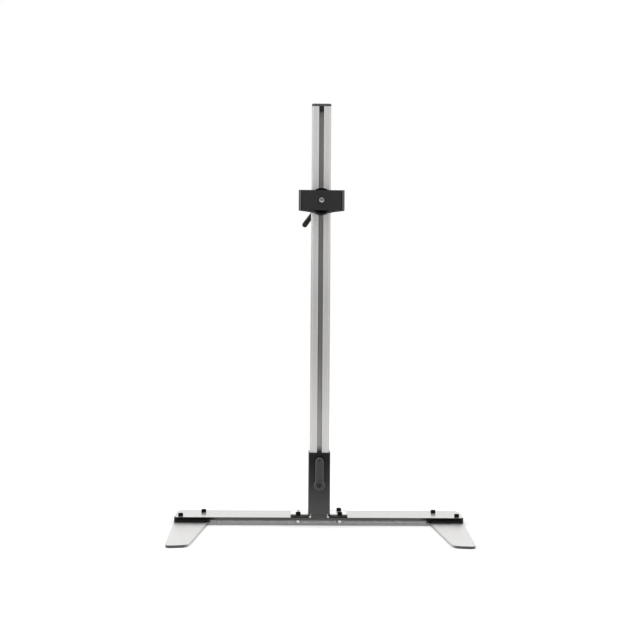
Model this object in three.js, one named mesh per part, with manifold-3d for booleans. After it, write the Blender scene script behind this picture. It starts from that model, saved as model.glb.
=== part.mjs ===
import * as THREE from 'three';
import { mergeVertices } from 'three/addons/utils/BufferGeometryUtils.js';
import Module from 'manifold-3d';

// Copy stand: a T-slot column on a low crossbar with two flat legs, and a sliding camera head.
// Millimetres, +Z up, X to the right, and the front faces -Y.
// The origin lies on the floor under the column's axis.

// Clearances
const seatGap = 0.05;
const runGap = 0.3;
const cutOverrun = 1;

// Crossbar
const crossbarLength = 591.5;
const crossbarDepth = 80;
const crossbarFront = 24;
const crossbarCorner = 8;
const topPlateThickness = 6;
const legSpacerThickness = 5;

// Legs, which share their layer with the tie strip
const floorPlateThickness = 5;
const legRootWidth = 68.5;
const legReach = 230;
const legTipOuterInset = 10.5;
const legTipInnerInset = 16.5;
const legTipSlant = 7;
const legTipOuterCorner = 10;
const legTipInnerCorner = 18;
const legRootCorner = 3;
const legOuterScrewInset = 13;
const legOuterScrewSetback = 12.5;
const legInnerScrewInset = 56;
const legInnerScrewSetback = 60;

// Socket head cap screws of the base
const baseScrewRadius = 3;
const baseScrewHeadRadius = 5;
const baseScrewHeadHeight = 6;
const baseScrewSocket = 5;
const baseScrewSocketDepth = 3;
const baseScrewChamfer = 0.6;
const baseScrewTipSetback = 0.8;
const spacerSleeveRadius = 4.5;

// Column plate and the screws that hold it
const columnPlateWidth = 116;
const columnPlateThickness = 2;
const footScrewSpacing = 85;
const rearScrewSetback = 11;
const setScrewStandOut = 2.6;
const setScrewSocket = 3;

// Column
const columnWidth = 40;
const columnLength = 837;
const columnCorner = 4;
const slotWidth = 10;
const slotLip = 4.5;
const slotCavityWidth = 20;
const slotCavityDepth = 3;
const slotDepth = 12;
const slotFloorWidth = 11;
const coreBoreRadius = 4.25;

// Column cap
const capThickness = 5.5;
const capEdge = 1.4;
const capProngLength = 10;
const capProngDepth = 8;
const capPlugLength = 8;

// Column bracket
const sheetThickness = 2;
const bracketHeight = 129.6;
const bracketSideDepth = 41;
const bracketEdgeRadius = 2.2;
const bracketFootDepth = 13;
const bracketBendRadius = 2;
const bracketReliefRadius = 2.9;
const bracketReliefInset = 3.2;
const footScrewSetback = 5.5;
const frontLeverHeight = 66.3;

// T-slot nut of the bracket
const slotNutLength = 22;
const slotNutThickness = 2.6;
const slotNutTaperShare = 0.6;

// Clamp levers
const studRadius = 4;
const washerRadius = 8.5;
const washerThickness = 1.2;
const collarRadius = 7.5;
const collarHeight = 2;
const splineTipRadius = 6;
const splineRootRadius = 5.2;
const splineHeight = 3;
const splineTeeth = 12;
const neckRadius = 4.6;
const neckHeight = 3;
const hubRadius = 10.8;
const hubHeight = 20;
const hubEdge = 1;
const hubShoulderThickness = 1.5;
const hubShoulderClearance = 0.9;
const springPocketRadius = 4.7;
const retainingScrewRadius = 2;
const retainingHeadRadius = 4.1;
const retainingHeadHeight = 2.6;
const retainingSocket = 2.5;
const springWireRadius = 0.3;
const springCoilRadius = 3.3;
const springLength = 5.7;
const springTurns = 3.5;

// Front lever's flat handle
const flatHandleLength = 55.7;
const flatHandleWidth = 16;
const flatHandleThickness = 8;
const flatHandleEdge = 1.2;
const flatHandleHoleRadius = 1.7;
const flatHandleHoleSetback = 5.6;

// Rear lever's round handle
const roundHandleLength = 61.5;
const roundHandleTipRadius = 5.7;
const roundHandleRootRadius = 4.4;
const roundHandleDropAngle = 54;

// Carriage
const carriageHeightOnColumn = 664;
const carriageHeight = 38;
const carriageFrontWall = 6;
const carriageCheek = 8.3;
const carriageBridgeDepth = 10;
const carriageCorner = 3;
const glideThickness = 1.5;
const glideHeight = 34;
const glideKeyDepth = 3;
const glideKeyGap = 0.4;
const bossRadius = 24;
const bossDrop = 7.9;
const bossDepth = 9.15;
const bossEdge = 0.8;
const shoeWidth = 24;
const shoeHeight = 20;
const shoeThickness = 3.9;
const bridgeScrewRadius = 2;
const bridgeScrewHeadRadius = 3.5;
const bridgeScrewHeadHeight = 4;
const bridgeScrewSocket = 3;
const bridgeScrewLength = 16;
const bridgeScrewRise = 13;

// Camera arm
const armReach = 90;
const armHeight = 40;
const armWidth = 91;
const armHeadDepth = 14;
const armNeckWidth = 42;
const armNeckLength = 10;
const armFlangeThickness = 5.5;
const armFlangeEdge = 0.8;
const armCorner = 4;
const lipWidth = 4.5;
const lipHeight = 1.5;
const padGroove = 2;
const padStandOut = 0.2;
const padEdge = 0.6;
const cheekThickness = 6;
const swivelWasherThickness = 1;
const swivelWasherRadius = 21;
const swivelScrewHeadRadius = 8;
const swivelScrewHeadHeight = 4;
const swivelScrewSocket = 6;
const swivelScrewReach = 15;

// Thumb wheel and camera screw
const wheelRadius = 25.3;
const wheelThickness = 8.8;
const wheelKnurls = 36;
const wheelKnurlDepth = 0.7;
const cameraScrewRadius = 3.175;
const cameraScrewStandOut = 6;
const cameraScrewShoulderRadius = 4.85;
const cameraScrewCoreRadius = 4;
const cameraScrewJournal = 7.4;
const cameraScrewChamfer = 0.7;

// Roundness of turned pieces and of rounded corners
const roundSides = 28;
const smallRoundSides = 16;
const cornerSteps = 4;

// Finishes
const satinAluminium = finish(0xdcdbd9, 0.42, 0.85);
const anodisedColumn = finish(0xc3bfbc, 0.38, 0.85);
const blackSatin = finish(0x2e2e2f, 0.45, 0.25);
const blackPlastic = finish(0x1d1d1f, 0.5, 0);
const blackOxide = finish(0x232324, 0.42, 0.55);
const brightSteel = finish(0xd2d2d0, 0.25, 1);
const blackRubber = finish(0x303032, 0.85, 0);
const whiteNylon = finish(0xe6e3da, 0.55, 0);

function finish(color, roughness, metalness) {
  return new THREE.MeshStandardMaterial({ color, roughness, metalness });
}

const wasm = await Module();
wasm.setup();

// Closed solid from a geometry: corners are shared and triangles without area are left out
function solid(geometry) {
  const bare = geometry.clone();
  bare.deleteAttribute('normal');
  bare.deleteAttribute('uv');
  const merged = mergeVertices(bare);
  const corners = merged.index.array;
  const triVerts = [];
  for (let i = 0; i < corners.length; i += 3) {
    const [a, b, c] = corners.slice(i, i + 3);
    if (a !== b && b !== c && c !== a) triVerts.push(a, b, c);
  }
  const mesh = new wasm.Mesh({
    numProp: 3,
    vertProperties: merged.attributes.position.array,
    triVerts: Uint32Array.from(triVerts),
  });
  return new wasm.Manifold(mesh);
}

// Named mesh from a solid
function piece(name, body, material) {
  const { vertProperties, triVerts } = body.getMesh();
  const geometry = new THREE.BufferGeometry();
  geometry.setAttribute('position', new THREE.BufferAttribute(vertProperties.slice(), 3));
  geometry.setIndex(new THREE.BufferAttribute(triVerts.slice(), 1));
  const flat = geometry.toNonIndexed();
  flat.computeVertexNormals();
  const mesh = new THREE.Mesh(flat, material);
  mesh.name = name;
  return mesh;
}

function block(xLow, xHigh, yLow, yHigh, zLow, zHigh) {
  const geometry = new THREE.BoxGeometry(xHigh - xLow, yHigh - yLow, zHigh - zLow);
  geometry.translate((xLow + xHigh) / 2, (yLow + yHigh) / 2, (zLow + zHigh) / 2);
  return solid(geometry);
}

// Outline raised along Z
function prism(shape, low, high) {
  const geometry = new THREE.ExtrudeGeometry(shape, {
    depth: high - low,
    bevelEnabled: false,
    curveSegments: cornerSteps,
  });
  geometry.translate(0, 0, low);
  return solid(geometry);
}

// Outline raised along Z with a bevelled rim at both ends, inside the stated outline
function bevelledPrism(shape, low, high, edge) {
  const geometry = new THREE.ExtrudeGeometry(shape, {
    depth: high - low - 2 * edge,
    bevelThickness: edge,
    bevelSize: edge,
    bevelOffset: -edge,
    bevelSegments: 1,
    curveSegments: cornerSteps,
  });
  geometry.translate(0, 0, low + edge);
  return solid(geometry);
}

// Profile of radius and height turned round the Z axis
function turned(profile, sides = roundSides) {
  const points = profile.map(([radius, height]) => new THREE.Vector2(radius, height));
  const geometry = new THREE.LatheGeometry(points, sides);
  geometry.rotateX(Math.PI / 2);
  return solid(geometry);
}

function rod(radius, low, high, x = 0, y = 0, sides = smallRoundSides) {
  const geometry = new THREE.CylinderGeometry(radius, radius, high - low, sides);
  geometry.rotateX(Math.PI / 2);
  geometry.translate(x, y, (low + high) / 2);
  return solid(geometry);
}

// Rod along Y, for holes and pins that run from front to back
function rodAlongY(radius, low, high, x = 0, z = 0, sides = smallRoundSides) {
  const geometry = new THREE.CylinderGeometry(radius, radius, high - low, sides);
  geometry.translate(x, (low + high) / 2, z);
  return solid(geometry);
}

// Closed outline of [x, y, radius] corners, each rounded by a true arc
function roundedOutline(corners) {
  const shape = new THREE.Shape();
  corners.forEach(([x, y, radius = 0], i) => {
    const corner = new THREE.Vector2(x, y);
    const before = corners[(i + corners.length - 1) % corners.length];
    const after = corners[(i + 1) % corners.length];
    const back = new THREE.Vector2(before[0], before[1]).sub(corner).normalize();
    const ahead = new THREE.Vector2(after[0], after[1]).sub(corner).normalize();
    const halfAngle = Math.acos(THREE.MathUtils.clamp(back.dot(ahead), -1, 1)) / 2;
    const start = corner.clone().addScaledVector(back, radius / Math.tan(halfAngle));
    if (i === 0) shape.moveTo(start.x, start.y);
    else shape.lineTo(start.x, start.y);
    if (radius === 0) return;
    const end = corner.clone().addScaledVector(ahead, radius / Math.tan(halfAngle));
    const inward = back.clone().add(ahead).normalize();
    const centre = corner.clone().addScaledVector(inward, radius / Math.sin(halfAngle));
    const startAngle = Math.atan2(start.y - centre.y, start.x - centre.x);
    const endAngle = Math.atan2(end.y - centre.y, end.x - centre.x);
    shape.absarc(centre.x, centre.y, radius, startAngle, endAngle, back.cross(ahead) > 0);
  });
  shape.closePath();
  return shape;
}

function rectangle(xLow, xHigh, yLow, yHigh, radius) {
  return roundedOutline([
    [xLow, yLow, radius],
    [xHigh, yLow, radius],
    [xHigh, yHigh, radius],
    [xLow, yHigh, radius],
  ]);
}

function hexagon(acrossFlats) {
  const shape = new THREE.Shape();
  const radius = acrossFlats / Math.sqrt(3);
  for (let i = 0; i < 6; i += 1) {
    const angle = (i * Math.PI) / 3;
    const place = [radius * Math.cos(angle), radius * Math.sin(angle)];
    if (i === 0) shape.moveTo(...place);
    else shape.lineTo(...place);
  }
  shape.closePath();
  return shape;
}

// Outline of alternating tips and roots, as on a spline or a knurled rim
function toothedOutline(tipRadius, rootRadius, teeth) {
  const shape = new THREE.Shape();
  const pointsPerTooth = 4;
  for (let i = 0; i < teeth * pointsPerTooth; i += 1) {
    const angle = (i * 2 * Math.PI) / (teeth * pointsPerTooth);
    const radius = i % pointsPerTooth < 2 ? tipRadius : rootRadius;
    const place = [radius * Math.cos(angle), radius * Math.sin(angle)];
    if (i === 0) shape.moveTo(...place);
    else shape.lineTo(...place);
  }
  shape.closePath();
  return shape;
}

// Socket head screw that points down from its seat at z = 0
function capScrew({ radius, length, headRadius, headHeight, socket, socketDepth, chamfer }) {
  const shaft = turned(
    [
      [0, -length],
      [radius - chamfer, -length],
      [radius, chamfer - length],
      [radius, 0],
      [headRadius, 0],
      [headRadius, headHeight - chamfer],
      [headRadius - chamfer, headHeight],
      [0, headHeight],
    ],
    smallRoundSides,
  );
  const recess = prism(hexagon(socket), headHeight - socketDepth, headHeight + cutOverrun);
  return shaft.subtract(recess);
}

function shifted(body, x, y, z) {
  return body.translate([x, y, z]);
}

// Levels of the base, from the floor up
const spacerBottom = floorPlateThickness + seatGap;
const spacerTop = spacerBottom + legSpacerThickness;
const topPlateBottom = spacerTop + seatGap;
const topPlateTop = topPlateBottom + topPlateThickness;
const columnPlateBottom = topPlateTop + seatGap;
const columnPlateTop = columnPlateBottom + columnPlateThickness;
const bracketBottom = columnPlateTop + seatGap;
const columnBottom = columnPlateTop + runGap;
const columnTop = columnBottom + columnLength;
const crossbarRear = crossbarDepth - crossbarFront;
const crossbarEnd = crossbarLength / 2;
const legInnerEdge = crossbarEnd - legRootWidth;

// Faces of the bracket round the column
const bracketInner = columnWidth / 2 + runGap;
const bracketOuter = bracketInner + sheetThickness;

// Places of the screws of the base
const legScrewPlaces = [
  ['front', crossbarEnd - legOuterScrewInset, legOuterScrewSetback - crossbarFront],
  ['rear', crossbarEnd - legInnerScrewInset, legInnerScrewSetback - crossbarFront],
];
const footScrewY = footScrewSetback - bracketOuter;
const rearScrewY = crossbarRear - rearScrewSetback;
const sides = [['left', -1], ['right', 1]];
const plateScrewPlaces = sides.flatMap(([word, side]) => [
  [`front_${word}`, (side * footScrewSpacing) / 2, footScrewY],
  [`rear_${word}`, (side * footScrewSpacing) / 2, rearScrewY],
]);
const baseScrewHole = baseScrewRadius + runGap;

const stand = new THREE.Group();
stand.name = 'copy_stand';
const base = new THREE.Group();
stand.add(base);

// Tie strip: the flat bar on the floor that joins the two legs
const tieStripEnd = legInnerEdge - runGap;
let tieStrip = block(
  -tieStripEnd,
  tieStripEnd,
  -crossbarFront,
  crossbarRear,
  0,
  floorPlateThickness,
);
plateScrewPlaces.forEach(([, x, y]) => {
  tieStrip = tieStrip.subtract(rod(baseScrewHole, -cutOverrun, spacerTop, x, y));
});
base.add(piece('tie_strip', tieStrip, satinAluminium));

// Top plate: the long upper plate of the crossbar
let topPlate = prism(
  rectangle(-crossbarEnd, crossbarEnd, -crossbarFront, crossbarRear, crossbarCorner),
  topPlateBottom,
  topPlateTop,
);
legScrewPlaces.forEach(([, x, y]) => {
  topPlate = topPlate.subtract(rod(baseScrewHole, spacerTop, columnPlateTop, x, y));
  topPlate = topPlate.subtract(rod(baseScrewHole, spacerTop, columnPlateTop, -x, y));
});
plateScrewPlaces.forEach(([, x, y]) => {
  topPlate = topPlate.subtract(rod(baseScrewHole, spacerTop, columnPlateTop, x, y));
});
base.add(piece('top_plate', topPlate, satinAluminium));

// Legs: flat plates that run forward from under the ends of the crossbar and taper
function legOutline(side) {
  const front = -crossbarFront - legReach;
  return roundedOutline([
    [side * legInnerEdge, crossbarRear, legRootCorner],
    [side * legInnerEdge, -crossbarFront],
    [side * (legInnerEdge + legTipInnerInset), front + legTipSlant, legTipInnerCorner],
    [side * (crossbarEnd - legTipOuterInset), front, legTipOuterCorner],
    [side * crossbarEnd, -crossbarFront],
    [side * crossbarEnd, crossbarRear, crossbarCorner],
  ]);
}

// Spacer over a leg's root, between the leg and the top plate
function legSpacerOutline(side) {
  const [xLow, xHigh] = [side * legInnerEdge, side * crossbarEnd].sort((a, b) => a - b);
  return rectangle(xLow, xHigh, -crossbarFront, crossbarRear, crossbarCorner);
}

const baseScrew = {
  radius: baseScrewRadius,
  headRadius: baseScrewHeadRadius,
  headHeight: baseScrewHeadHeight,
  socket: baseScrewSocket,
  socketDepth: baseScrewSocketDepth,
  chamfer: baseScrewChamfer,
};

for (const [word, side] of sides) {
  let leg = prism(legOutline(side), 0, floorPlateThickness);
  let spacer = prism(legSpacerOutline(side), spacerBottom, spacerTop);
  legScrewPlaces.forEach(([row, x, y]) => {
    leg = leg.subtract(rod(baseScrewHole, -cutOverrun, spacerTop, side * x, y));
    spacer = spacer.subtract(rod(baseScrewHole, 0, topPlateTop, side * x, y));
    const screw = capScrew({ ...baseScrew, length: topPlateTop - baseScrewTipSetback });
    const screwPiece = piece(`leg_screw_${row}_${word}`, screw, blackOxide);
    screwPiece.position.set(side * x, y, topPlateTop + seatGap);
    base.add(screwPiece);
  });
  base.add(piece(`leg_${word}`, leg, satinAluminium));
  base.add(piece(`leg_spacer_${word}`, spacer, blackPlastic));
}

// Spacer sleeves round the four screws of the column plate
const sleeve = rod(spacerSleeveRadius, spacerBottom, spacerTop).subtract(
  rod(baseScrewHole, 0, topPlateTop),
);
plateScrewPlaces.forEach(([corner, x, y]) => {
  const sleevePiece = piece(`spacer_sleeve_${corner}`, sleeve, brightSteel);
  sleevePiece.position.set(x, y, 0);
  base.add(sleevePiece);
});

// Column plate: carries the column and the bracket's feet on top of the crossbar
let columnPlate = block(
  -columnPlateWidth / 2,
  columnPlateWidth / 2,
  -crossbarFront,
  crossbarRear,
  columnPlateBottom,
  columnPlateTop,
);
plateScrewPlaces.forEach(([, x, y]) => {
  columnPlate = columnPlate.subtract(rod(baseScrewHole, topPlateBottom, columnTop, x, y));
});
base.add(piece('column_plate', columnPlate, satinAluminium));

// Column bracket: a sheet channel round the column, with feet bent outwards
function bracketChannelOutline() {
  const rear = bracketSideDepth - bracketOuter;
  return roundedOutline([
    [-bracketOuter, rear],
    [-bracketOuter, -bracketOuter, bracketEdgeRadius],
    [bracketOuter, -bracketOuter, bracketEdgeRadius],
    [bracketOuter, rear],
    [bracketInner, rear],
    [bracketInner, -bracketInner, bracketEdgeRadius - sheetThickness],
    [-bracketInner, -bracketInner, bracketEdgeRadius - sheetThickness],
    [-bracketInner, rear],
  ]);
}

const bendTop = bracketBottom + sheetThickness + bracketBendRadius;

// Section of one foot and its bend, drawn with X outwards and Y up
function footSection() {
  return roundedOutline([
    [bracketInner, bendTop],
    [bracketInner, bracketBottom, sheetThickness + bracketBendRadius],
    [columnPlateWidth / 2, bracketBottom],
    [columnPlateWidth / 2, bracketBottom + sheetThickness],
    [bracketOuter, bracketBottom + sheetThickness, bracketBendRadius],
    [bracketOuter, bendTop],
  ]);
}

function bracketFoot(side) {
  const geometry = new THREE.ExtrudeGeometry(footSection(), {
    depth: bracketFootDepth,
    bevelEnabled: false,
    curveSegments: cornerSteps,
  });
  geometry.rotateX(Math.PI / 2);
  geometry.translate(0, bracketFootDepth - bracketOuter, 0);
  if (side < 0) geometry.rotateZ(Math.PI);
  if (side < 0) geometry.translate(0, bracketFootDepth - 2 * bracketOuter, 0);
  return solid(geometry);
}

let bracket = prism(bracketChannelOutline(), bracketBottom, bracketBottom + bracketHeight);
for (const side of [-1, 1]) {
  const [xLow, xHigh] = [side * bracketInner, side * (bracketOuter + cutOverrun)].sort((a, b) => a - b);
  const bendEnd = bracketFootDepth - bracketOuter;
  bracket = bracket.subtract(block(xLow, xHigh, -bracketInner, bendEnd, 0, bendTop));
  bracket = bracket.add(bracketFoot(side));
  const reliefX = side * (bracketOuter - bracketReliefInset);
  const reliefZ = bracketBottom + bracketReliefRadius;
  const relief = rodAlongY(
    bracketReliefRadius,
    -bracketOuter - cutOverrun,
    -bracketInner + cutOverrun,
    reliefX,
    reliefZ,
  );
  bracket = bracket.subtract(relief);
  const footX = (side * footScrewSpacing) / 2;
  bracket = bracket.subtract(rod(baseScrewHole, topPlateTop, bendTop, footX, footScrewY));
}
const frontLeverZ = bracketBottom + frontLeverHeight;
bracket = bracket.subtract(
  rodAlongY(studRadius + runGap, -bracketOuter - cutOverrun, 0, 0, frontLeverZ),
);
base.add(piece('column_bracket', bracket, blackSatin));

// Screws of the column plate: two through the feet, one behind, and a low set screw
const footTop = bracketBottom + sheetThickness + seatGap;
const footScrew = capScrew({ ...baseScrew, length: footTop - baseScrewTipSetback });
for (const [word, side] of sides) {
  const screwPiece = piece(`foot_screw_${word}`, footScrew, blackOxide);
  screwPiece.position.set((side * footScrewSpacing) / 2, footScrewY, footTop);
  base.add(screwPiece);
}

const rearSeat = columnPlateTop + seatGap;
const rearPlateScrew = capScrew({ ...baseScrew, length: rearSeat - baseScrewTipSetback });
const rearPlateScrewPiece = piece('rear_plate_screw', rearPlateScrew, blackOxide);
rearPlateScrewPiece.position.set(footScrewSpacing / 2, rearScrewY, rearSeat);
base.add(rearPlateScrewPiece);

const setScrewTop = columnPlateTop + setScrewStandOut;
let setScrew = turned(
  [
    [0, baseScrewTipSetback],
    [baseScrewRadius - baseScrewChamfer, baseScrewTipSetback],
    [baseScrewRadius, baseScrewTipSetback + baseScrewChamfer],
    [baseScrewRadius, setScrewTop - baseScrewChamfer],
    [baseScrewRadius - baseScrewChamfer, setScrewTop],
    [0, setScrewTop],
  ],
  smallRoundSides,
);
setScrew = setScrew.subtract(
  prism(hexagon(setScrewSocket), setScrewTop - baseScrewSocketDepth, setScrewTop + cutOverrun),
);
const setScrewPiece = piece('rear_set_screw', setScrew, brightSteel);
setScrewPiece.position.set(-footScrewSpacing / 2, rearScrewY, 0);
base.add(setScrewPiece);

// T-slot nut behind the lips of the column's front slot
function slotNutOutline() {
  const front = runGap - columnWidth / 2;
  const behindLip = slotLip + runGap - columnWidth / 2;
  const shoulder = behindLip + slotNutThickness;
  const halfNeck = slotWidth / 2 - runGap;
  const halfHead = slotCavityWidth / 2 - runGap * 2;
  const halfFloor = slotFloorWidth / 2 - runGap;
  const taper = (halfHead - halfFloor) * slotNutTaperShare;
  return roundedOutline([
    [-halfNeck, front],
    [halfNeck, front],
    [halfNeck, behindLip],
    [halfHead, behindLip],
    [halfHead, shoulder],
    [halfHead - taper, shoulder + taper],
    [taper - halfHead, shoulder + taper],
    [-halfHead, shoulder],
    [-halfHead, behindLip],
    [-halfNeck, behindLip],
  ]);
}

const slotNut = prism(slotNutOutline(), -slotNutLength / 2, slotNutLength / 2).subtract(
  rodAlongY(studRadius + runGap, -columnWidth, 0),
);
const slotNutPiece = piece('front_slot_nut', slotNut, brightSteel);
slotNutPiece.position.z = frontLeverZ;
base.add(slotNutPiece);

// Stack of a clamp lever along its own axis, from the face of its washer outwards
const splineTop = collarHeight + splineHeight;
const neckTop = splineTop + neckHeight;
const hubBottom = collarHeight + runGap;
const shoulderBottom = neckTop + hubShoulderClearance;
const shoulderTop = shoulderBottom + hubShoulderThickness;
const springBottom = shoulderTop + seatGap * 2;
const springTop = springBottom + springLength;
const retainingHeadBottom = springTop + seatGap * 2;
const splinePocketTop = hubBottom + splineHeight;

function leverInsert(studLength) {
  const boreRadius = retainingScrewRadius + runGap;
  const boreDepth = neckHeight + splineHeight / 2;
  const lower = turned([
    [0, -studLength],
    [studRadius - baseScrewChamfer, -studLength],
    [studRadius, baseScrewChamfer - studLength],
    [studRadius, 0],
    [collarRadius, 0],
    [collarRadius, collarHeight],
    [0, collarHeight],
  ]);
  const spline = prism(
    toothedOutline(splineTipRadius, splineRootRadius, splineTeeth),
    collarHeight - seatGap,
    splineTop,
  );
  const neck = rod(neckRadius, collarHeight, neckTop);
  const bore = rod(boreRadius, neckTop - boreDepth, neckTop + cutOverrun);
  return lower.add(spline).add(neck).subtract(bore);
}

// Screw that keeps a handle on its insert
function leverScrew() {
  const shankLength = retainingHeadBottom - (neckTop - neckHeight);
  const screw = capScrew({
    radius: retainingScrewRadius,
    length: shankLength,
    headRadius: retainingHeadRadius,
    headHeight: retainingHeadHeight,
    socket: retainingSocket,
    socketDepth: retainingHeadHeight / 2,
    chamfer: baseScrewChamfer / 2,
  });
  return shifted(screw, 0, 0, retainingHeadBottom);
}

// Helix of a compression spring between two heights
class SpringCurve extends THREE.Curve {
  getPoint(t, target = new THREE.Vector3()) {
    const angle = t * springTurns * 2 * Math.PI;
    const low = springBottom + springWireRadius;
    const high = springTop - springWireRadius;
    return target.set(
      springCoilRadius * Math.cos(angle),
      springCoilRadius * Math.sin(angle),
      low + (high - low) * t,
    );
  }
}

function leverSpring() {
  const wire = new THREE.Shape();
  const wireSides = 6;
  for (let i = 0; i < wireSides; i += 1) {
    const angle = (i * 2 * Math.PI) / wireSides;
    const place = [springWireRadius * Math.cos(angle), springWireRadius * Math.sin(angle)];
    if (i === 0) wire.moveTo(...place);
    else wire.lineTo(...place);
  }
  wire.closePath();
  const stepsPerTurn = 10;
  const geometry = new THREE.ExtrudeGeometry(wire, {
    steps: springTurns * stepsPerTurn,
    extrudePath: new SpringCurve(),
  });
  return solid(geometry);
}

// Least gap of the spring to itself, measured on points a turn or nearly a turn apart
function springSelfGap() {
  const curve = new SpringCurve();
  const samples = 140;
  const points = curve.getPoints(samples);
  const apart = Math.floor(samples / springTurns / 2);
  let least = Infinity;
  for (let i = 0; i < points.length; i += 1) {
    for (let j = i + apart; j < points.length; j += 1) {
      least = Math.min(least, points[i].distanceTo(points[j]));
    }
  }
  return least - 2 * springWireRadius;
}
console.log(`lever spring: least gap between turns ${springSelfGap().toFixed(2)} mm`);

// Bores of a handle's hub: splined at the bottom, wide above, and a pocket for the spring
function hubBores() {
  const splineBore = prism(
    toothedOutline(splineTipRadius + runGap, splineRootRadius + runGap, splineTeeth),
    hubBottom - cutOverrun,
    shoulderBottom - seatGap,
  );
  const wideBore = rod(splineTipRadius + 2 * runGap, splinePocketTop, shoulderBottom);
  const screwBore = rod(retainingScrewRadius + runGap, shoulderBottom - seatGap, hubHeight);
  const springPocket = rod(springPocketRadius, shoulderTop, hubHeight + cutOverrun);
  return [splineBore, wideBore, screwBore, springPocket];
}

function handleHub() {
  return turned([
    [0, hubBottom],
    [hubRadius - hubEdge, hubBottom],
    [hubRadius, hubBottom + hubEdge],
    [hubRadius, hubHeight - hubEdge],
    [hubRadius - hubEdge, hubHeight],
    [0, hubHeight],
  ]);
}

// Flat handle of the front lever, pointing along Y
function flatHandle() {
  const halfWidth = flatHandleWidth / 2;
  const outline = new THREE.Shape();
  outline.moveTo(-halfWidth, 0);
  outline.lineTo(halfWidth, 0);
  outline.lineTo(halfWidth, flatHandleLength - halfWidth);
  outline.absarc(0, flatHandleLength - halfWidth, halfWidth, 0, Math.PI);
  outline.closePath();
  const armTop = hubHeight - hubEdge / 2;
  const arm = bevelledPrism(outline, armTop - flatHandleThickness, armTop, flatHandleEdge);
  const holeY = flatHandleLength - flatHandleHoleSetback;
  const hole = rod(flatHandleHoleRadius, 0, hubHeight + cutOverrun, 0, holeY);
  let handle = handleHub().add(arm).subtract(hole);
  hubBores().forEach((bore) => {
    handle = handle.subtract(bore);
  });
  return handle;
}

// Round tapered handle of the rear lever, pointing along Y
function roundHandle() {
  const tipCentre = roundHandleLength - roundHandleTipRadius;
  const tipSteps = 5;
  const profile = [
    [0, 0],
    [roundHandleRootRadius, 0],
  ];
  for (let i = 0; i <= tipSteps; i += 1) {
    const angle = (i * Math.PI) / 2 / tipSteps;
    const radius = i === tipSteps ? 0 : roundHandleTipRadius * Math.cos(angle);
    profile.push([radius, tipCentre + roundHandleTipRadius * Math.sin(angle)]);
  }
  const points = profile.map(([radius, height]) => new THREE.Vector2(radius, height));
  const geometry = new THREE.LatheGeometry(points, smallRoundSides);
  geometry.translate(0, 0, hubHeight - roundHandleTipRadius);
  let handle = handleHub().add(solid(geometry));
  hubBores().forEach((bore) => {
    handle = handle.subtract(bore);
  });
  return handle;
}

function washer() {
  const ring = rod(washerRadius, -washerThickness, 0);
  return ring.subtract(rod(studRadius + runGap, -washerThickness - cutOverrun, cutOverrun));
}

// Clamp lever on its stud. The group's Z points outwards, and z = 0 is the insert's foot.
function clampLever(prefix, studLength, handle, handleAngle) {
  const lever = new THREE.Group();
  const washerPiece = piece(`${prefix}_washer`, washer(), brightSteel);
  washerPiece.position.z = -runGap;
  lever.add(washerPiece);
  const insertPiece = piece(`${prefix}_insert`, leverInsert(studLength), brightSteel);
  insertPiece.rotation.z = handleAngle;
  lever.add(insertPiece);
  lever.add(piece(`${prefix}_screw`, leverScrew(), blackOxide));
  lever.add(piece(`${prefix}_spring`, leverSpring(), brightSteel));
  const handlePiece = piece(`${prefix}_handle`, handle, blackPlastic);
  handlePiece.rotation.z = handleAngle;
  lever.add(handlePiece);
  return lever;
}

// Front lever: its stud runs through the bracket's front wall into the slot nut
const leverFootSetback = seatGap + washerThickness + runGap;
const frontLeverY = -bracketOuter - leverFootSetback;
const frontStudEnd = slotLip + slotNutThickness - columnWidth / 2;
const frontLever = clampLever('front_lever', frontStudEnd - frontLeverY, flatHandle(), 0);
frontLever.position.set(0, frontLeverY, frontLeverZ);
frontLever.rotation.x = Math.PI / 2;
stand.add(frontLever);

// Column: extrusion with a T-slot in each face and a bore in its core
function columnOutline() {
  const half = columnWidth / 2;
  const slotSide = [
    [-half, -half, columnCorner],
    [-slotWidth / 2, -half],
    [-slotWidth / 2, slotLip - half],
    [-slotCavityWidth / 2, slotLip - half],
    [-slotCavityWidth / 2, slotLip + slotCavityDepth - half],
    [-slotFloorWidth / 2, slotDepth - half],
    [slotFloorWidth / 2, slotDepth - half],
    [slotCavityWidth / 2, slotLip + slotCavityDepth - half],
    [slotCavityWidth / 2, slotLip - half],
    [slotWidth / 2, slotLip - half],
    [slotWidth / 2, -half],
  ];
  const corners = [];
  for (let quarter = 0; quarter < 4; quarter += 1) {
    const angle = (quarter * Math.PI) / 2;
    for (const [x, y, radius] of slotSide) {
      const turnedX = x * Math.cos(angle) - y * Math.sin(angle);
      const turnedY = x * Math.sin(angle) + y * Math.cos(angle);
      corners.push([turnedX, turnedY, radius]);
    }
  }
  return roundedOutline(corners);
}

const columnGroup = new THREE.Group();
columnGroup.position.z = columnBottom;
stand.add(columnGroup);
const column = prism(columnOutline(), 0, columnLength).subtract(
  rod(coreBoreRadius, -cutOverrun, columnLength + cutOverrun),
);
columnGroup.add(piece('column', column, anodisedColumn));

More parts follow.
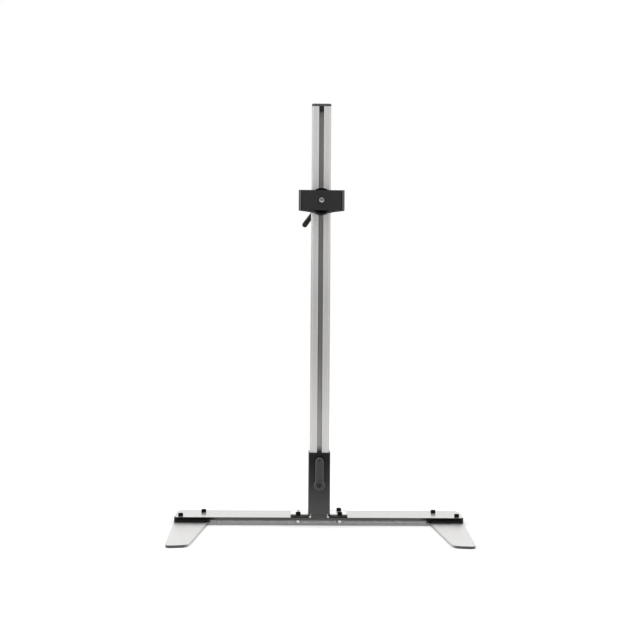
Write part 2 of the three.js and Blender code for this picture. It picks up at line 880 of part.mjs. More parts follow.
// Column cap: closes the top, with a prong in each slot and a plug in the core bore
const capShape = rectangle(
  -columnWidth / 2,
  columnWidth / 2,
  -columnWidth / 2,
  columnWidth / 2,
  columnCorner,
);
let cap = bevelledPrism(capShape, -capEdge, capThickness, capEdge);
cap = cap.subtract(block(-columnWidth, columnWidth, -columnWidth, columnWidth, -columnWidth, 0));
const prongOuter = columnWidth / 2 - runGap * 2;
const prongHalfWidth = slotWidth / 2 - runGap;
for (const side of [-1, 1]) {
  const [low, high] = [side * (prongOuter - capProngDepth), side * prongOuter].sort((a, b) => a - b);
  const prongRoot = capThickness / 2;
  cap = cap.add(block(-prongHalfWidth, prongHalfWidth, low, high, -capProngLength, prongRoot));
  cap = cap.add(block(low, high, -prongHalfWidth, prongHalfWidth, -capProngLength, prongRoot));
}
cap = cap.add(rod(coreBoreRadius - runGap, -capPlugLength, capThickness / 2));
const capPiece = piece('column_cap', cap, blackPlastic);
capPiece.position.z = columnLength + seatGap;
columnGroup.add(capPiece);

// Carriage: a block round three sides of the column, with the boss that carries the arm
const carriage = new THREE.Group();
carriage.position.z = carriageHeightOnColumn - columnBottom;
columnGroup.add(carriage);
const glideFace = columnWidth / 2 + runGap;
const carriageInner = glideFace + glideThickness + seatGap;
const carriageSide = carriageInner + carriageCheek;
const carriageFront = carriageInner + carriageFrontWall;
const bossFront = carriageInner + bossDepth;
const halfCarriage = carriageHeight / 2;
const bridgeRear = carriageInner + seatGap + carriageBridgeDepth;

// Points of the bridge's screws, as X and Z in the carriage
const bridgeScrewPlaces = sides.flatMap(([word, side]) => [
  [`lower_${word}`, side * (carriageInner + carriageCheek / 2), -bridgeScrewRise],
  [`upper_${word}`, side * (carriageInner + carriageCheek / 2), bridgeScrewRise],
]);

// Turned piece whose axis runs along Y, with the profile's height measured along +Y
function turnedAlongY(profile, sides = roundSides) {
  const points = profile.map(([radius, height]) => new THREE.Vector2(radius, height));
  return solid(new THREE.LatheGeometry(points, sides));
}

let carriageBody = prism(
  roundedOutline([
    [-carriageSide, carriageInner],
    [-carriageSide, -carriageFront, carriageCorner],
    [carriageSide, -carriageFront, carriageCorner],
    [carriageSide, carriageInner],
    [carriageInner, carriageInner],
    [carriageInner, -carriageInner],
    [-carriageInner, -carriageInner],
    [-carriageInner, carriageInner],
  ]),
  -halfCarriage,
  halfCarriage,
);
const bossDisc = turnedAlongY([
  [0, -bossFront],
  [bossRadius - bossEdge, -bossFront],
  [bossRadius, bossEdge - bossFront],
  [bossRadius, -carriageInner],
  [0, -carriageInner],
]);
const headPocketDepth = swivelScrewHeadHeight + runGap;
carriageBody = carriageBody
  .add(shifted(bossDisc, 0, 0, -bossDrop))
  .subtract(rodAlongY(studRadius + runGap, -bossFront - cutOverrun, 0, 0, -bossDrop))
  .subtract(
    rodAlongY(
      swivelScrewHeadRadius + runGap,
      -carriageInner - headPocketDepth,
      0,
      0,
      -bossDrop,
      roundSides,
    ),
  );
bridgeScrewPlaces.forEach(([, x, z]) => {
  const deep = bridgeRear - bridgeScrewLength - cutOverrun;
  const hole = rodAlongY(bridgeScrewRadius + runGap, deep, carriageInner + cutOverrun, x, z);
  carriageBody = carriageBody.subtract(hole);
});
carriage.add(piece('carriage_body', carriageBody, blackSatin));

// Bridge: closes the carriage behind the column and carries the rear lever's thread
const bridgeInner = carriageInner + seatGap;
const shoeOuter = glideFace + shoeThickness;
let bridge = prism(
  roundedOutline([
    [-carriageSide, bridgeInner],
    [carriageSide, bridgeInner],
    [carriageSide, bridgeRear, carriageCorner],
    [-carriageSide, bridgeRear, carriageCorner],
  ]),
  -halfCarriage,
  halfCarriage,
);
bridge = bridge
  .subtract(
    block(
      -shoeWidth / 2 - runGap,
      shoeWidth / 2 + runGap,
      0,
      shoeOuter + 2 * runGap,
      -shoeHeight / 2 - runGap,
      shoeHeight / 2 + runGap,
    ),
  )
  .subtract(rodAlongY(studRadius + runGap, 0, bridgeRear + cutOverrun));
const bridgeHeadSeat = bridgeRear - bridgeScrewHeadHeight - runGap;
bridgeScrewPlaces.forEach(([, x, z]) => {
  bridge = bridge.subtract(
    rodAlongY(bridgeScrewRadius + runGap, 0, bridgeRear + cutOverrun, x, z),
  );
  bridge = bridge.subtract(
    rodAlongY(bridgeScrewHeadRadius + runGap, bridgeHeadSeat, bridgeRear + cutOverrun, x, z),
  );
});
carriage.add(piece('carriage_bridge', bridge, blackSatin));

// Four screws that pull the bridge onto the carriage's cheeks
const bridgeScrew = capScrew({
  radius: bridgeScrewRadius,
  length: bridgeHeadSeat - bridgeRear + bridgeScrewLength,
  headRadius: bridgeScrewHeadRadius,
  headHeight: bridgeScrewHeadHeight,
  socket: bridgeScrewSocket,
  socketDepth: bridgeScrewHeadHeight / 2,
  chamfer: baseScrewChamfer / 2,
});
bridgeScrewPlaces.forEach(([corner, x, z]) => {
  const screwPiece = piece(`bridge_screw_${corner}`, bridgeScrew, blackOxide);
  screwPiece.position.set(x, bridgeHeadSeat + seatGap, z);
  screwPiece.rotation.x = -Math.PI / 2;
  carriage.add(screwPiece);
});

// Glide liners between carriage and column, the front one keyed into the slot
const glideOuter = glideFace + glideThickness;
const halfGlide = glideHeight / 2;
const glideHalfWidth = columnWidth / 2 - columnCorner + glideThickness;
const keyHalfWidth = slotWidth / 2 - glideKeyGap;
const frontGlide = block(
  -glideHalfWidth,
  glideHalfWidth,
  -glideOuter,
  -glideFace,
  -halfGlide,
  halfGlide,
).add(
  block(
    -keyHalfWidth,
    keyHalfWidth,
    -glideFace - glideThickness / 2,
    glideKeyDepth - glideFace,
    -halfGlide,
    halfGlide,
  ),
);
carriage.add(piece('front_glide', frontGlide, whiteNylon));
const sideGlide = block(
  glideFace,
  glideOuter,
  -glideHalfWidth,
  glideHalfWidth,
  -halfGlide,
  halfGlide,
);
carriage.add(piece('right_glide', sideGlide, whiteNylon));
const leftGlidePiece = piece('left_glide', sideGlide, whiteNylon);
leftGlidePiece.rotation.z = Math.PI;
carriage.add(leftGlidePiece);

// Pressure shoe that the rear stud pushes against the back of the column
const shoe = block(
  -shoeWidth / 2,
  shoeWidth / 2,
  glideFace,
  shoeOuter,
  -shoeHeight / 2,
  shoeHeight / 2,
);
carriage.add(piece('pressure_shoe', shoe, whiteNylon));

// Rear lever, hanging down to the left as seen from the front
const rearLeverY = bridgeRear + leverFootSetback;
const rearStudLength = rearLeverY - shoeOuter - runGap;
const rearHandleAngle = Math.PI / 2 - THREE.MathUtils.degToRad(roundHandleDropAngle);
const rearLever = clampLever('rear_lever', rearStudLength, roundHandle(), rearHandleAngle);
rearLever.position.set(0, rearLeverY, 0);
rearLever.rotation.x = -Math.PI / 2;
carriage.add(rearLever);

// Camera arm: its group stands on the line through the camera screw
const armGroup = new THREE.Group();
armGroup.position.z = -bossDrop;
carriage.add(armGroup);
const washerRear = bossFront + runGap;
const armRear = washerRear + swivelWasherThickness + seatGap;
const recessFloor = armReach - lipHeight;
const wheelFront = recessFloor - cheekThickness;
const pocketFront = wheelFront + runGap;
const wheelRear = wheelFront - wheelThickness;
const pocketRear = wheelRear - runGap;
const halfArm = armHeight / 2;
const halfWidth = armWidth / 2;

const swivelWasher = turnedAlongY([
  [studRadius + runGap, -washerRear],
  [studRadius + runGap, -washerRear - swivelWasherThickness],
  [swivelWasherRadius, -washerRear - swivelWasherThickness],
  [swivelWasherRadius, -washerRear],
  [studRadius + runGap, -washerRear],
]);
armGroup.add(piece('swivel_washer', swivelWasher, whiteNylon));

let arm = prism(
  roundedOutline([
    [-armNeckWidth / 2, -armRear],
    [-armNeckWidth / 2, -armRear - armNeckLength],
    [-halfWidth, armHeadDepth - armReach],
    [-halfWidth, -armReach, armCorner],
    [halfWidth, -armReach, armCorner],
    [halfWidth, armHeadDepth - armReach],
    [armNeckWidth / 2, -armRear - armNeckLength],
    [armNeckWidth / 2, -armRear],
  ]),
  -halfArm,
  halfArm,
);
const armFlange = turnedAlongY([
  [0, -armRear - armFlangeThickness],
  [bossRadius - armFlangeEdge, -armRear - armFlangeThickness],
  [bossRadius, armFlangeEdge - armRear - armFlangeThickness],
  [bossRadius, -armRear],
  [0, -armRear],
]);
const overArm = halfArm + cutOverrun;
const wheelPocket = block(
  -wheelRadius - 2 * runGap,
  wheelRadius + 2 * runGap,
  -pocketFront,
  -pocketRear,
  -overArm,
  overArm,
);
const faceRecess = block(
  lipWidth - halfWidth,
  halfWidth - lipWidth,
  -armReach - cutOverrun,
  -recessFloor,
  -overArm,
  overArm,
);
const swivelThreadEnd = armRear + swivelScrewReach;
const journalEnd = wheelRear - cameraScrewJournal;
arm = arm
  .add(armFlange)
  .subtract(wheelPocket)
  .subtract(faceRecess)
  .subtract(rodAlongY(cameraScrewShoulderRadius + runGap, -armReach, -wheelRear))
  .subtract(rodAlongY(cameraScrewCoreRadius + runGap, -pocketRear - cutOverrun, -journalEnd))
  .subtract(rodAlongY(studRadius + runGap, -swivelThreadEnd - runGap, 0));
armGroup.add(piece('camera_arm', arm, blackSatin));

// Swivel screw, put in from the column's side, about which the arm turns
let swivelScrew = turnedAlongY([
  [0, -swivelThreadEnd],
  [studRadius - baseScrewChamfer, -swivelThreadEnd],
  [studRadius, baseScrewChamfer - swivelThreadEnd],
  [studRadius, -carriageInner - swivelScrewHeadHeight],
  [swivelScrewHeadRadius, -carriageInner - swivelScrewHeadHeight],
  [swivelScrewHeadRadius, -carriageInner],
  [0, -carriageInner],
]);
const swivelRecess = new THREE.ExtrudeGeometry(hexagon(swivelScrewSocket), {
  depth: swivelScrewHeadHeight / 2 + cutOverrun,
  bevelEnabled: false,
});
swivelRecess.rotateX(-Math.PI / 2);
swivelRecess.translate(0, -carriageInner - swivelScrewHeadHeight / 2, 0);
swivelScrew = swivelScrew.subtract(solid(swivelRecess));
armGroup.add(piece('swivel_screw', swivelScrew, blackOxide));

// Camera pad between the lips of the arm's face
const padHalfWidth = halfWidth - lipWidth - padGroove;
const padHalfHeight = halfArm - padEdge;
const padHole = cameraScrewShoulderRadius + runGap;
const pad = block(
  -padHalfWidth,
  padHalfWidth,
  -armReach - padStandOut,
  -recessFloor - seatGap,
  -padHalfHeight,
  padHalfHeight,
).subtract(rodAlongY(padHole, -armReach - cutOverrun, 0));
armGroup.add(piece('camera_pad', pad, blackRubber));

// Thumb wheel in the arm's pocket, fixed on the camera screw
const wheelOutline = toothedOutline(wheelRadius, wheelRadius - wheelKnurlDepth, wheelKnurls);
const wheelGeometry = new THREE.ExtrudeGeometry(wheelOutline, {
  depth: wheelThickness,
  bevelEnabled: false,
});
wheelGeometry.rotateX(Math.PI / 2);
wheelGeometry.translate(0, -wheelRear, 0);
const wheel = solid(wheelGeometry).subtract(
  rodAlongY(cameraScrewCoreRadius + seatGap, -armReach, -carriageInner),
);
armGroup.add(piece('thumb_wheel', wheel, blackPlastic));

// Camera screw: threaded end, bright shoulder in the face, core in the wheel, journal behind
const shoulderFront = armReach + padStandOut;
const screwTip = shoulderFront + cameraScrewStandOut;
const cameraScrew = turnedAlongY(
  [
    [0, -screwTip],
    [cameraScrewRadius - cameraScrewChamfer, -screwTip],
    [cameraScrewRadius, cameraScrewChamfer - screwTip],
    [cameraScrewRadius, -shoulderFront],
    [cameraScrewShoulderRadius, -shoulderFront],
    [cameraScrewShoulderRadius, -wheelFront - seatGap],
    [cameraScrewCoreRadius, -wheelFront - seatGap],
    [cameraScrewCoreRadius, -journalEnd - runGap],
    [0, -journalEnd - runGap],
  ],
  smallRoundSides,
);
armGroup.add(piece('camera_screw', cameraScrew, brightSteel));

export default stand;
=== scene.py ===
import math

import bmesh
import bpy
from mathutils import Matrix, Vector


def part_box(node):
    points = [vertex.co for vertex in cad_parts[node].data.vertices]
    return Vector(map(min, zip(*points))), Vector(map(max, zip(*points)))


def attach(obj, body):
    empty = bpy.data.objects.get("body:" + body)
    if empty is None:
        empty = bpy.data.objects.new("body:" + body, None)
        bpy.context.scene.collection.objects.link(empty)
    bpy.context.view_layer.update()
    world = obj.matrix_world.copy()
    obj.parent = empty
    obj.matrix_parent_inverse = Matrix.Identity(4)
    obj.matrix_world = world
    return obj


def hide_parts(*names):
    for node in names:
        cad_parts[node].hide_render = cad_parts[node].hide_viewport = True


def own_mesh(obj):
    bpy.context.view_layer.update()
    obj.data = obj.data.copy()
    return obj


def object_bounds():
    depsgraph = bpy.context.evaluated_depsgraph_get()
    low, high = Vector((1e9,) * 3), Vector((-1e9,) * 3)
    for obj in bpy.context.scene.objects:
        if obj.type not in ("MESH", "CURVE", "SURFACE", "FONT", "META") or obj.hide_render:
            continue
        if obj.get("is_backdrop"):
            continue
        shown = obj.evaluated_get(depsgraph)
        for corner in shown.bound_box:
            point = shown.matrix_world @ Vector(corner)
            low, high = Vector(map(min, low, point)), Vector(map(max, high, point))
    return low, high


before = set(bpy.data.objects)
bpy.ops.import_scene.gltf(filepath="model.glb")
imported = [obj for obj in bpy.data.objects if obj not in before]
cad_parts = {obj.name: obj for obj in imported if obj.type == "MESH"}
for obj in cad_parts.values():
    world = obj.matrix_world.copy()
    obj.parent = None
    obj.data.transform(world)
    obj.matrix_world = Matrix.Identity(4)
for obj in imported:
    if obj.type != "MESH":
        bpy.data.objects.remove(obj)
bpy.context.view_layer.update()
scene = bpy.context.scene

# Camera: level, at the middle of the stand's height and a little to the left of it, with the
# slight turn and lean that the photograph has.
photo_pixels = 640
focal_pixels = 1100
camera_data = bpy.data.cameras.new("photo_camera")
camera_data.sensor_width = 36.0
camera_data.lens = focal_pixels / photo_pixels * camera_data.sensor_width
camera_data.clip_start = 0.05
camera_data.clip_end = 100.0
camera = bpy.data.objects.new("photo_camera", camera_data)
scene.collection.objects.link(camera)
camera_place = Matrix.Translation((-0.0363, -2.2654, 0.4165))
camera_turn = Matrix.Rotation(math.radians(-0.91), 4, "Z")
camera_level = Matrix.Rotation(math.radians(90.058), 4, "X")
camera_lean = Matrix.Rotation(math.radians(0.385), 4, "Z")
camera.matrix_world = camera_place @ camera_turn @ camera_level @ camera_lean
scene.camera = camera
scene.view_settings.view_transform = "Standard"


# Floor: a plain pale studio floor that runs out to the horizon, matt so that it mirrors nothing
# of the stand.
def add_piece(name, mesh):
    piece = bpy.data.objects.new(name, mesh)
    scene.collection.objects.link(piece)
    return piece


def grey(level):
    return (level, level, level)


def new_material(name, colour, roughness, metallic=0.0, specular=0.5):
    material = bpy.data.materials.new(name)
    material.use_nodes = True
    shader = material.node_tree.nodes["Principled BSDF"]
    shader.inputs["Base Color"].default_value = (*colour, 1.0)
    shader.inputs["Roughness"].default_value = roughness
    shader.inputs["Metallic"].default_value = metallic
    shader.inputs["Specular IOR Level"].default_value = specular
    return material, material.node_tree, shader


floor_reach = 30.0
floor_corners = [(x * floor_reach, y * floor_reach, 0) for x, y in ((-1, -1), (1, -1), (1, 1), (-1, 1))]
floor_mesh = bpy.data.meshes.new("studio_floor")
floor_mesh.from_pydata(floor_corners, [], [(0, 1, 2, 3)])
studio_floor = add_piece("studio_floor", floor_mesh)
floor_paint, _, _ = new_material("pale_floor", grey(0.93), 0.9, specular=0.0)
floor_mesh.materials.append(floor_paint)
studio_floor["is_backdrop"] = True


# Light: a white studio all round that is darker in front, where its open side is, and one
# large soft lamp above.
def wired(tree, kind, **values):
    node = tree.nodes.new(kind)
    for key, value in values.items():
        setattr(node, key, value)
    return node


def along_axes(tree, kind="Object"):
    """Sockets X, Y and Z of the place on the piece, or with Normal of the way its face looks."""
    place = wired(tree, "ShaderNodeTexCoord")
    split = wired(tree, "ShaderNodeSeparateXYZ")
    tree.links.new(place.outputs[kind], split.inputs["Vector"])
    return split.outputs


def between(tree, value, low, high, new_low=0.0, new_high=1.0):
    """The value's range from low to high becomes new_low to new_high, and stops at both ends."""
    ramp = wired(tree, "ShaderNodeMapRange")
    ramp.inputs["From Min"].default_value = low
    ramp.inputs["From Max"].default_value = high
    ramp.inputs["To Min"].default_value = new_low
    ramp.inputs["To Max"].default_value = new_high
    tree.links.new(value, ramp.inputs["Value"])
    return ramp.outputs["Result"]


lit_walls = 1.2
open_front = 0.25
surround = bpy.data.worlds.new("white_studio")
surround.use_nodes = True
studio = surround.node_tree
backdrop = studio.nodes["Background"]
backdrop.inputs["Strength"].default_value = 1.0
walls = wired(studio, "ShaderNodeBackground")
for light in (backdrop, walls):
    light.inputs["Color"].default_value = (1.0, 1.0, 1.0, 1.0)
frontward = along_axes(studio, "Generated")["Y"]
wall_light = between(studio, frontward, -0.5, -0.95, lit_walls, open_front)
wall_light.node.interpolation_type = "SMOOTHSTEP"
studio.links.new(wall_light, walls.inputs["Strength"])
seen_directly = wired(studio, "ShaderNodeLightPath")
choice = wired(studio, "ShaderNodeMixShader")
studio.links.new(seen_directly.outputs["Is Camera Ray"], choice.inputs["Fac"])
studio.links.new(walls.outputs["Background"], choice.inputs[1])
studio.links.new(backdrop.outputs["Background"], choice.inputs[2])
studio.links.new(choice.outputs["Shader"], studio.nodes["World Output"].inputs["Surface"])
scene.world = surround
lamp_target = Vector((0, 0, 0.3))
lamp_data = bpy.data.lights.new("soft_lamp", "AREA")
lamp_data.size = 2.5
lamp_data.energy = 18.0
lamp = bpy.data.objects.new("soft_lamp", lamp_data)
lamp.location = (-0.9, -1.0, 2.6)
lamp.rotation_euler = (lamp_target - lamp.location).to_track_quat("-Z", "Y").to_euler()
scene.collection.objects.link(lamp)


# Tie strip and top plate: flat bars of satin anodised aluminium, sawn to length. Their broad
# faces are pale, their cut edges painted darker as shade, and their rims are broken by a small chamfer.
def maths(tree, operation, *values):
    """One step of arithmetic on numbers and sockets."""
    node = wired(tree, "ShaderNodeMath", operation=operation)
    for value, socket in zip(values, node.inputs):
        if isinstance(value, float):
            socket.default_value = value
        else:
            tree.links.new(value, socket)
    return node.outputs["Value"]


def grain(tree, scale, stretch=(1.0, 1.0, 1.0), detail=2.0):
    """Noise on object coordinates, drawn out along the axis whose stretch is small."""
    place = wired(tree, "ShaderNodeTexCoord")
    mapping = wired(tree, "ShaderNodeMapping")
    mapping.inputs["Scale"].default_value = stretch
    noise = wired(tree, "ShaderNodeTexNoise")
    noise.inputs["Scale"].default_value = scale
    noise.inputs["Detail"].default_value = detail
    tree.links.new(place.outputs["Object"], mapping.inputs["Vector"])
    tree.links.new(mapping.outputs["Vector"], noise.inputs["Vector"])
    return noise.outputs["Fac"]


def blended(tree, share, first, second):
    """Mix of two colours, each a colour or a socket, by a share that is a socket."""
    mix = wired(tree, "ShaderNodeMix", data_type="RGBA")
    for key, value in (("Factor", share), ("A", first), ("B", second)):
        socket = [s for s in mix.inputs if s.name == key and s.enabled][0]
        if isinstance(value, tuple):
            socket.default_value = (*value, 1.0)
        else:
            tree.links.new(value, socket)
    return [s for s in mix.outputs if s.enabled][0]


def laid_on(tree, shader, tone, spread):
    """The tone and the roughness of a finish go to its shader."""
    tree.links.new(tone, shader.inputs["Base Color"])
    tree.links.new(spread, shader.inputs["Roughness"])


def reopened(material):
    """Tree, shader and present tone of a finish, so that more can be laid on it."""
    tree = material.node_tree
    shader = tree.nodes["Principled BSDF"]
    return tree, shader, shader.inputs["Base Color"].links[0].from_socket


def fine_bump(tree, shader, height, distance, strength):
    bump = wired(tree, "ShaderNodeBump")
    bump.inputs["Strength"].default_value = strength
    bump.inputs["Distance"].default_value = distance
    tree.links.new(height, bump.inputs["Height"])
    tree.links.new(bump.outputs["Normal"], shader.inputs["Normal"])


def looking_up(tree, elsewhere=0.0, above=1.0):
    """Number that is one value on faces that look up and another elsewhere."""
    return between(tree, along_axes(tree, "Normal")["Z"], 0.25, 0.75, elsewhere, above)


def plate_aluminium(
    name, face, side, front, brushed, ends=None, under=None, far_edge=None, roughness=0.45, metal=1.0
):
    """Satin plate: broad faces, long sides and sawn front edges each in their own tone; these tones
    paint light and shade by the way each face looks, with the front and rear edges dark as shade.

    ends is where the front edge turns dark to either side and its tone there, a painted shade, and
    under is the tone of the lower face, painted for the light it gets. far_edge is the rear and the
    tone of a painted dark line of shade on the rim of an upper face that is less of a mirror, by metal.
    """
    material, tree, shader = new_material(name, face, roughness, metallic=1.0)
    place = along_axes(tree)
    facing = along_axes(tree, "Normal")
    upward = looking_up(tree)
    downward = between(tree, facing["Z"], -0.8, -0.97)
    frontness = between(tree, maths(tree, "ABSOLUTE", facing["Y"]), 0.3, 0.8)
    lines = grain(tree, 900.0, brushed)
    clouds = grain(tree, 14.0)
    faded = tuple(c * 0.93 for c in face)
    bright = tuple(min(1.0, c * 1.05) for c in face)
    broad = blended(tree, between(tree, lines, 0.35, 0.65), faded, face)
    broad = blended(tree, between(tree, clouds, 0.3, 0.8, 0.0, 0.5), broad, bright)
    # Front and rear faces take the front tone and long sides the side tone: painted shade by the way each
    # face looks.
    edges = blended(tree, frontness, side, front)
    spread = between(tree, lines, 0.3, 0.7, roughness - 0.07, roughness + 0.07)
    # Lower faces take the under tone, painted for the light they get.
    if under:
        broad = blended(tree, downward, broad, under)
    # A painted dark line of shade along the rear rim of the upper face, which is no mirror there.
    if far_edge:
        rear, dark = far_edge
        rim_starts, rim_full = rear - 0.0026, rear - 0.0022
        at_rear = maths(tree, "MULTIPLY", between(tree, place["Y"], rim_starts, rim_full), upward)
        broad = blended(tree, at_rear, broad, dark)
        spread = maths(tree, "MAXIMUM", spread, at_rear)
        off_rear = between(tree, at_rear, 0.0, 1.0, 1.0, 0.0)
        shine = maths(tree, "MULTIPLY", looking_up(tree, 1.0, metal), off_rear)
        tree.links.new(shine, shader.inputs["Metallic"])
    # The front edge is painted dark as shade towards either end.
    if ends:
        low, high, dark = ends
        edges = blended(tree, between(tree, maths(tree, "ABSOLUTE", place["X"]), low, high), edges, dark)
    tone = blended(tree, downward, blended(tree, upward, edges, broad), broad)
    laid_on(tree, shader, tone, spread)
    fine_bump(tree, shader, lines, distance=0.00002, strength=0.35)
    return material


def solid_copy(node, name):
    """Piece with the solid's mesh as one closed surface with flat polygons."""
    shape = bmesh.new()
    shape.from_mesh(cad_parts[node].data)
    bmesh.ops.remove_doubles(shape, verts=shape.verts, dist=2e-6)
    bmesh.ops.dissolve_limit(shape, angle_limit=math.radians(0.4), verts=shape.verts, edges=shape.edges)
    mesh = bpy.data.meshes.new(name)
    shape.to_mesh(mesh)
    shape.free()
    return add_piece(name, mesh)


def settled(piece):
    """The piece's modifiers become its mesh."""
    graph = bpy.context.evaluated_depsgraph_get()
    mesh = bpy.data.meshes.new_from_object(piece.evaluated_get(graph))
    piece.modifiers.clear()
    piece.data = mesh
    mesh.name = piece.name
    return piece


def smoothed(piece, angle=40.0):
    """The piece with bends up to the angle shown as round, and its flat faces kept flat."""
    piece.data.shade_smooth()
    shape = bmesh.new()
    shape.from_mesh(piece.data)
    for edge in shape.edges:
        edge.smooth = len(edge.link_faces) == 2 and edge.calc_face_angle(0.0) < math.radians(angle)
    shape.to_mesh(piece.data)
    shape.free()
    weighted = piece.modifiers.new("flat faces", "WEIGHTED_NORMAL")
    weighted.keep_sharp = True
    weighted.weight = 60
    return settled(piece)


def softened(node, name, rim, segments=2):
    """The solid with its sharp rims broken, and smooth across gentle bends."""
    piece = solid_copy(node, name)
    bevel = piece.modifiers.new("broken rims", "BEVEL")
    bevel.width = rim
    bevel.segments = segments
    bevel.limit_method = "ANGLE"
    bevel.angle_limit = math.radians(30)
    bevel.use_clamp_overlap = True
    bevel.miter_outer = "MITER_ARC"
    return smoothed(settled(piece))


def finished(piece, body, slot, material, *nodes):
    """The piece gets its material, its body, and the solids whose place it takes; slot is not used."""
    piece.data.materials.clear()
    piece.data.materials.append(material)
    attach(piece, body)
    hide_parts(*nodes)
    return piece


brushed_along_x = (0.003, 1.0, 1.0)
brushed_along_y = (1.0, 0.003, 1.0)
strip_metal = plate_aluminium(
    "tie_strip_aluminium",
    face=(0.5, 0.5, 0.495),
    side=(0.4, 0.4, 0.39),
    front=(0.28, 0.278, 0.274),
    brushed=brushed_along_x,
    roughness=0.2,
)
# Painted light on the strip's top near its front edge, and the top plate's painted shadow further back under
# it.
lit_depth, shaded_depth = 0.014, 0.019
tree, shader, tone = reopened(strip_metal)
strip_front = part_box("tie_strip")[0].y
plate_shadow_share = between(tree, along_axes(tree)["Y"], strip_front + lit_depth, strip_front + shaded_depth)
lit_and_shaded_strip_top = blended(tree, plate_shadow_share, (1.0, 1.0, 0.99), (0.22, 0.22, 0.217))
tree.links.new(blended(tree, looking_up(tree), tone, lit_and_shaded_strip_top), shader.inputs["Base Color"])
# Top plate: its front edge is painted near black as shade over the legs, its lower face has a painted tone
# of its own, and a painted dark line of shade runs along its rear rim.
plate_metal = plate_aluminium(
    "top_plate_aluminium",
    face=(0.46, 0.456, 0.448),
    side=(0.4, 0.4, 0.39),
    front=(0.08, 0.079, 0.077),
    brushed=brushed_along_x,
    ends=(0.205, 0.222, grey(0.012)),
    under=(0.5, 0.5, 0.495),
    far_edge=(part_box("top_plate")[1].y, grey(0.02)),
    roughness=0.22,
    metal=0.55,
)
strip_rim = 0.0003
plate_rim = 0.0004
tie_bar = softened("tie_strip", "tie_bar", strip_rim)
finished(tie_bar, "base", "base_aluminium", strip_metal, "tie_strip")
crossbar_plate = softened("top_plate", "crossbar_plate", plate_rim)
finished(crossbar_plate, "base", "base_aluminium", plate_metal, "top_plate")

# Legs: flat plates of the same aluminium that taper forward to rounded tips, with the same
# broken rims. Each is held under one end of the top plate by two cap screws.
# Their front and rear edges are painted darker than their long sides, as shade.
leg_metal = plate_aluminium(
    "leg_aluminium",
    face=(0.67, 0.665, 0.655),
    side=(0.5, 0.495, 0.49),
    front=(0.11, 0.109, 0.107),
    brushed=brushed_along_y,
)
for side in ("left", "right"):
    leg = softened(f"leg_{side}", f"leg_plate_{side}", plate_rim)
    finished(leg, "base", "base_aluminium", leg_metal, f"leg_{side}")


# Spacers over the legs' roots: black moulded plastic blocks between leg and top plate, held
# there by the leg screws.
def black_moulding(name, colour, roughness, specular):
    """Black moulded plastic with the fine sparkle of an eroded tool."""
    material, tree, shader = new_material(name, colour, roughness, specular=specular)
    texture = grain(tree, 1500.0, detail=3.0)
    worn = tuple(c * 1.5 + min(c, 0.004) for c in colour)
    tone = blended(tree, between(tree, texture, 0.4, 0.7), colour, worn)
    spread = between(tree, texture, 0.3, 0.7, roughness - 0.06, roughness + 0.08)
    laid_on(tree, shader, tone, spread)
    fine_bump(tree, shader, texture, distance=0.00003, strength=0.5)
    return material


spacer_plastic = black_moulding("spacer_plastic", (0.006, 0.006, 0.0065), roughness=0.55, specular=0.15)
for side in ("left", "right"):
    spacer = softened(f"leg_spacer_{side}", f"spacer_block_{side}", rim=0.0003)
    finished(spacer, "base", "black_plastic", spacer_plastic, f"leg_spacer_{side}")


# Cap screws of the base: black oxide M6 screws with knurled heads and hexagon sockets. One
# head is made as rings of points, and a node tree sets it on a shank at each hole.
def ring_mesh(name, rings, closed=False):
    """Closed surface through rings of equally many points, capped or joined at its ends."""
    shape = bmesh.new()
    count = len(rings[0])
    rows = [[shape.verts.new(point) for point in ring] for ring in rings]
    pairs = list(zip(rows, rows[1:] + rows[:1])) if closed else list(zip(rows, rows[1:]))
    for low, high in pairs:
        for i in range(count):
            j = (i + 1) % count
            shape.faces.new((low[i], low[j], high[j], high[i]))
    if not closed:
        shape.faces.new(list(reversed(rows[0])))
        shape.faces.new(rows[-1])
    bmesh.ops.remove_doubles(shape, verts=shape.verts, dist=1e-7)
    bmesh.ops.recalc_face_normals(shape, faces=shape.faces)
    mesh = bpy.data.meshes.new(name)
    shape.to_mesh(mesh)
    shape.free()
    return mesh


def circle(radius, height, count, ripple=0.0, teeth=0):
    """Ring of points about Z, rippled where teeth are asked for."""
    points = []
    for i in range(count):
        angle = 2 * math.pi * i / count
        reach = radius + ripple * math.cos(teeth * angle)
        points.append((reach * math.cos(angle), reach * math.sin(angle), height))
    return points


def hexagon(across, height, count):
    """Ring of points about Z on a hexagon that is so wide across its flats."""
    points = []
    for i in range(count):
        angle = 2 * math.pi * i / count
        bend = (angle + math.pi / 6) % (math.pi / 3) - math.pi / 6
        reach = across / 2 / math.cos(bend)
        points.append((reach * math.cos(angle), reach * math.sin(angle), height))
    return points


def screw_head(name, radius, height, socket, knurls):
    """Head that stands on z = 0, with a knurled side, a rounded rim and a hexagon socket."""
    count = knurls * 4
    chamfer = radius * 0.12
    ripple = radius * 0.02
    socket_flare = 0.0004
    socket_lead = 0.0003
    rings = [
        circle(radius - chamfer * 0.5, 0.0, count),
        circle(radius - ripple, height * 0.06, count, ripple, knurls),
        circle(radius - ripple, height - chamfer * 1.6, count, ripple, knurls),
        circle(radius - chamfer * 0.35, height - chamfer * 0.6, count),
        circle(radius - chamfer, height - chamfer * 0.15, count),
        circle(radius - chamfer * 1.8, height, count),
        hexagon(socket + socket_flare, height, count),
        hexagon(socket, height - socket_lead, count),
        hexagon(socket, height * 0.5, count),
        circle(socket * 0.1, height * 0.42, count),
    ]
    return ring_mesh(name, rings)


def cap_screw(name, radius, height, socket, knurls, shank):
    """One kind of cap screw: the object of its head, the head's height and the shank's radius."""
    head = bpy.data.objects.new(name, screw_head(name, radius, height, socket, knurls))
    return head, height, shank


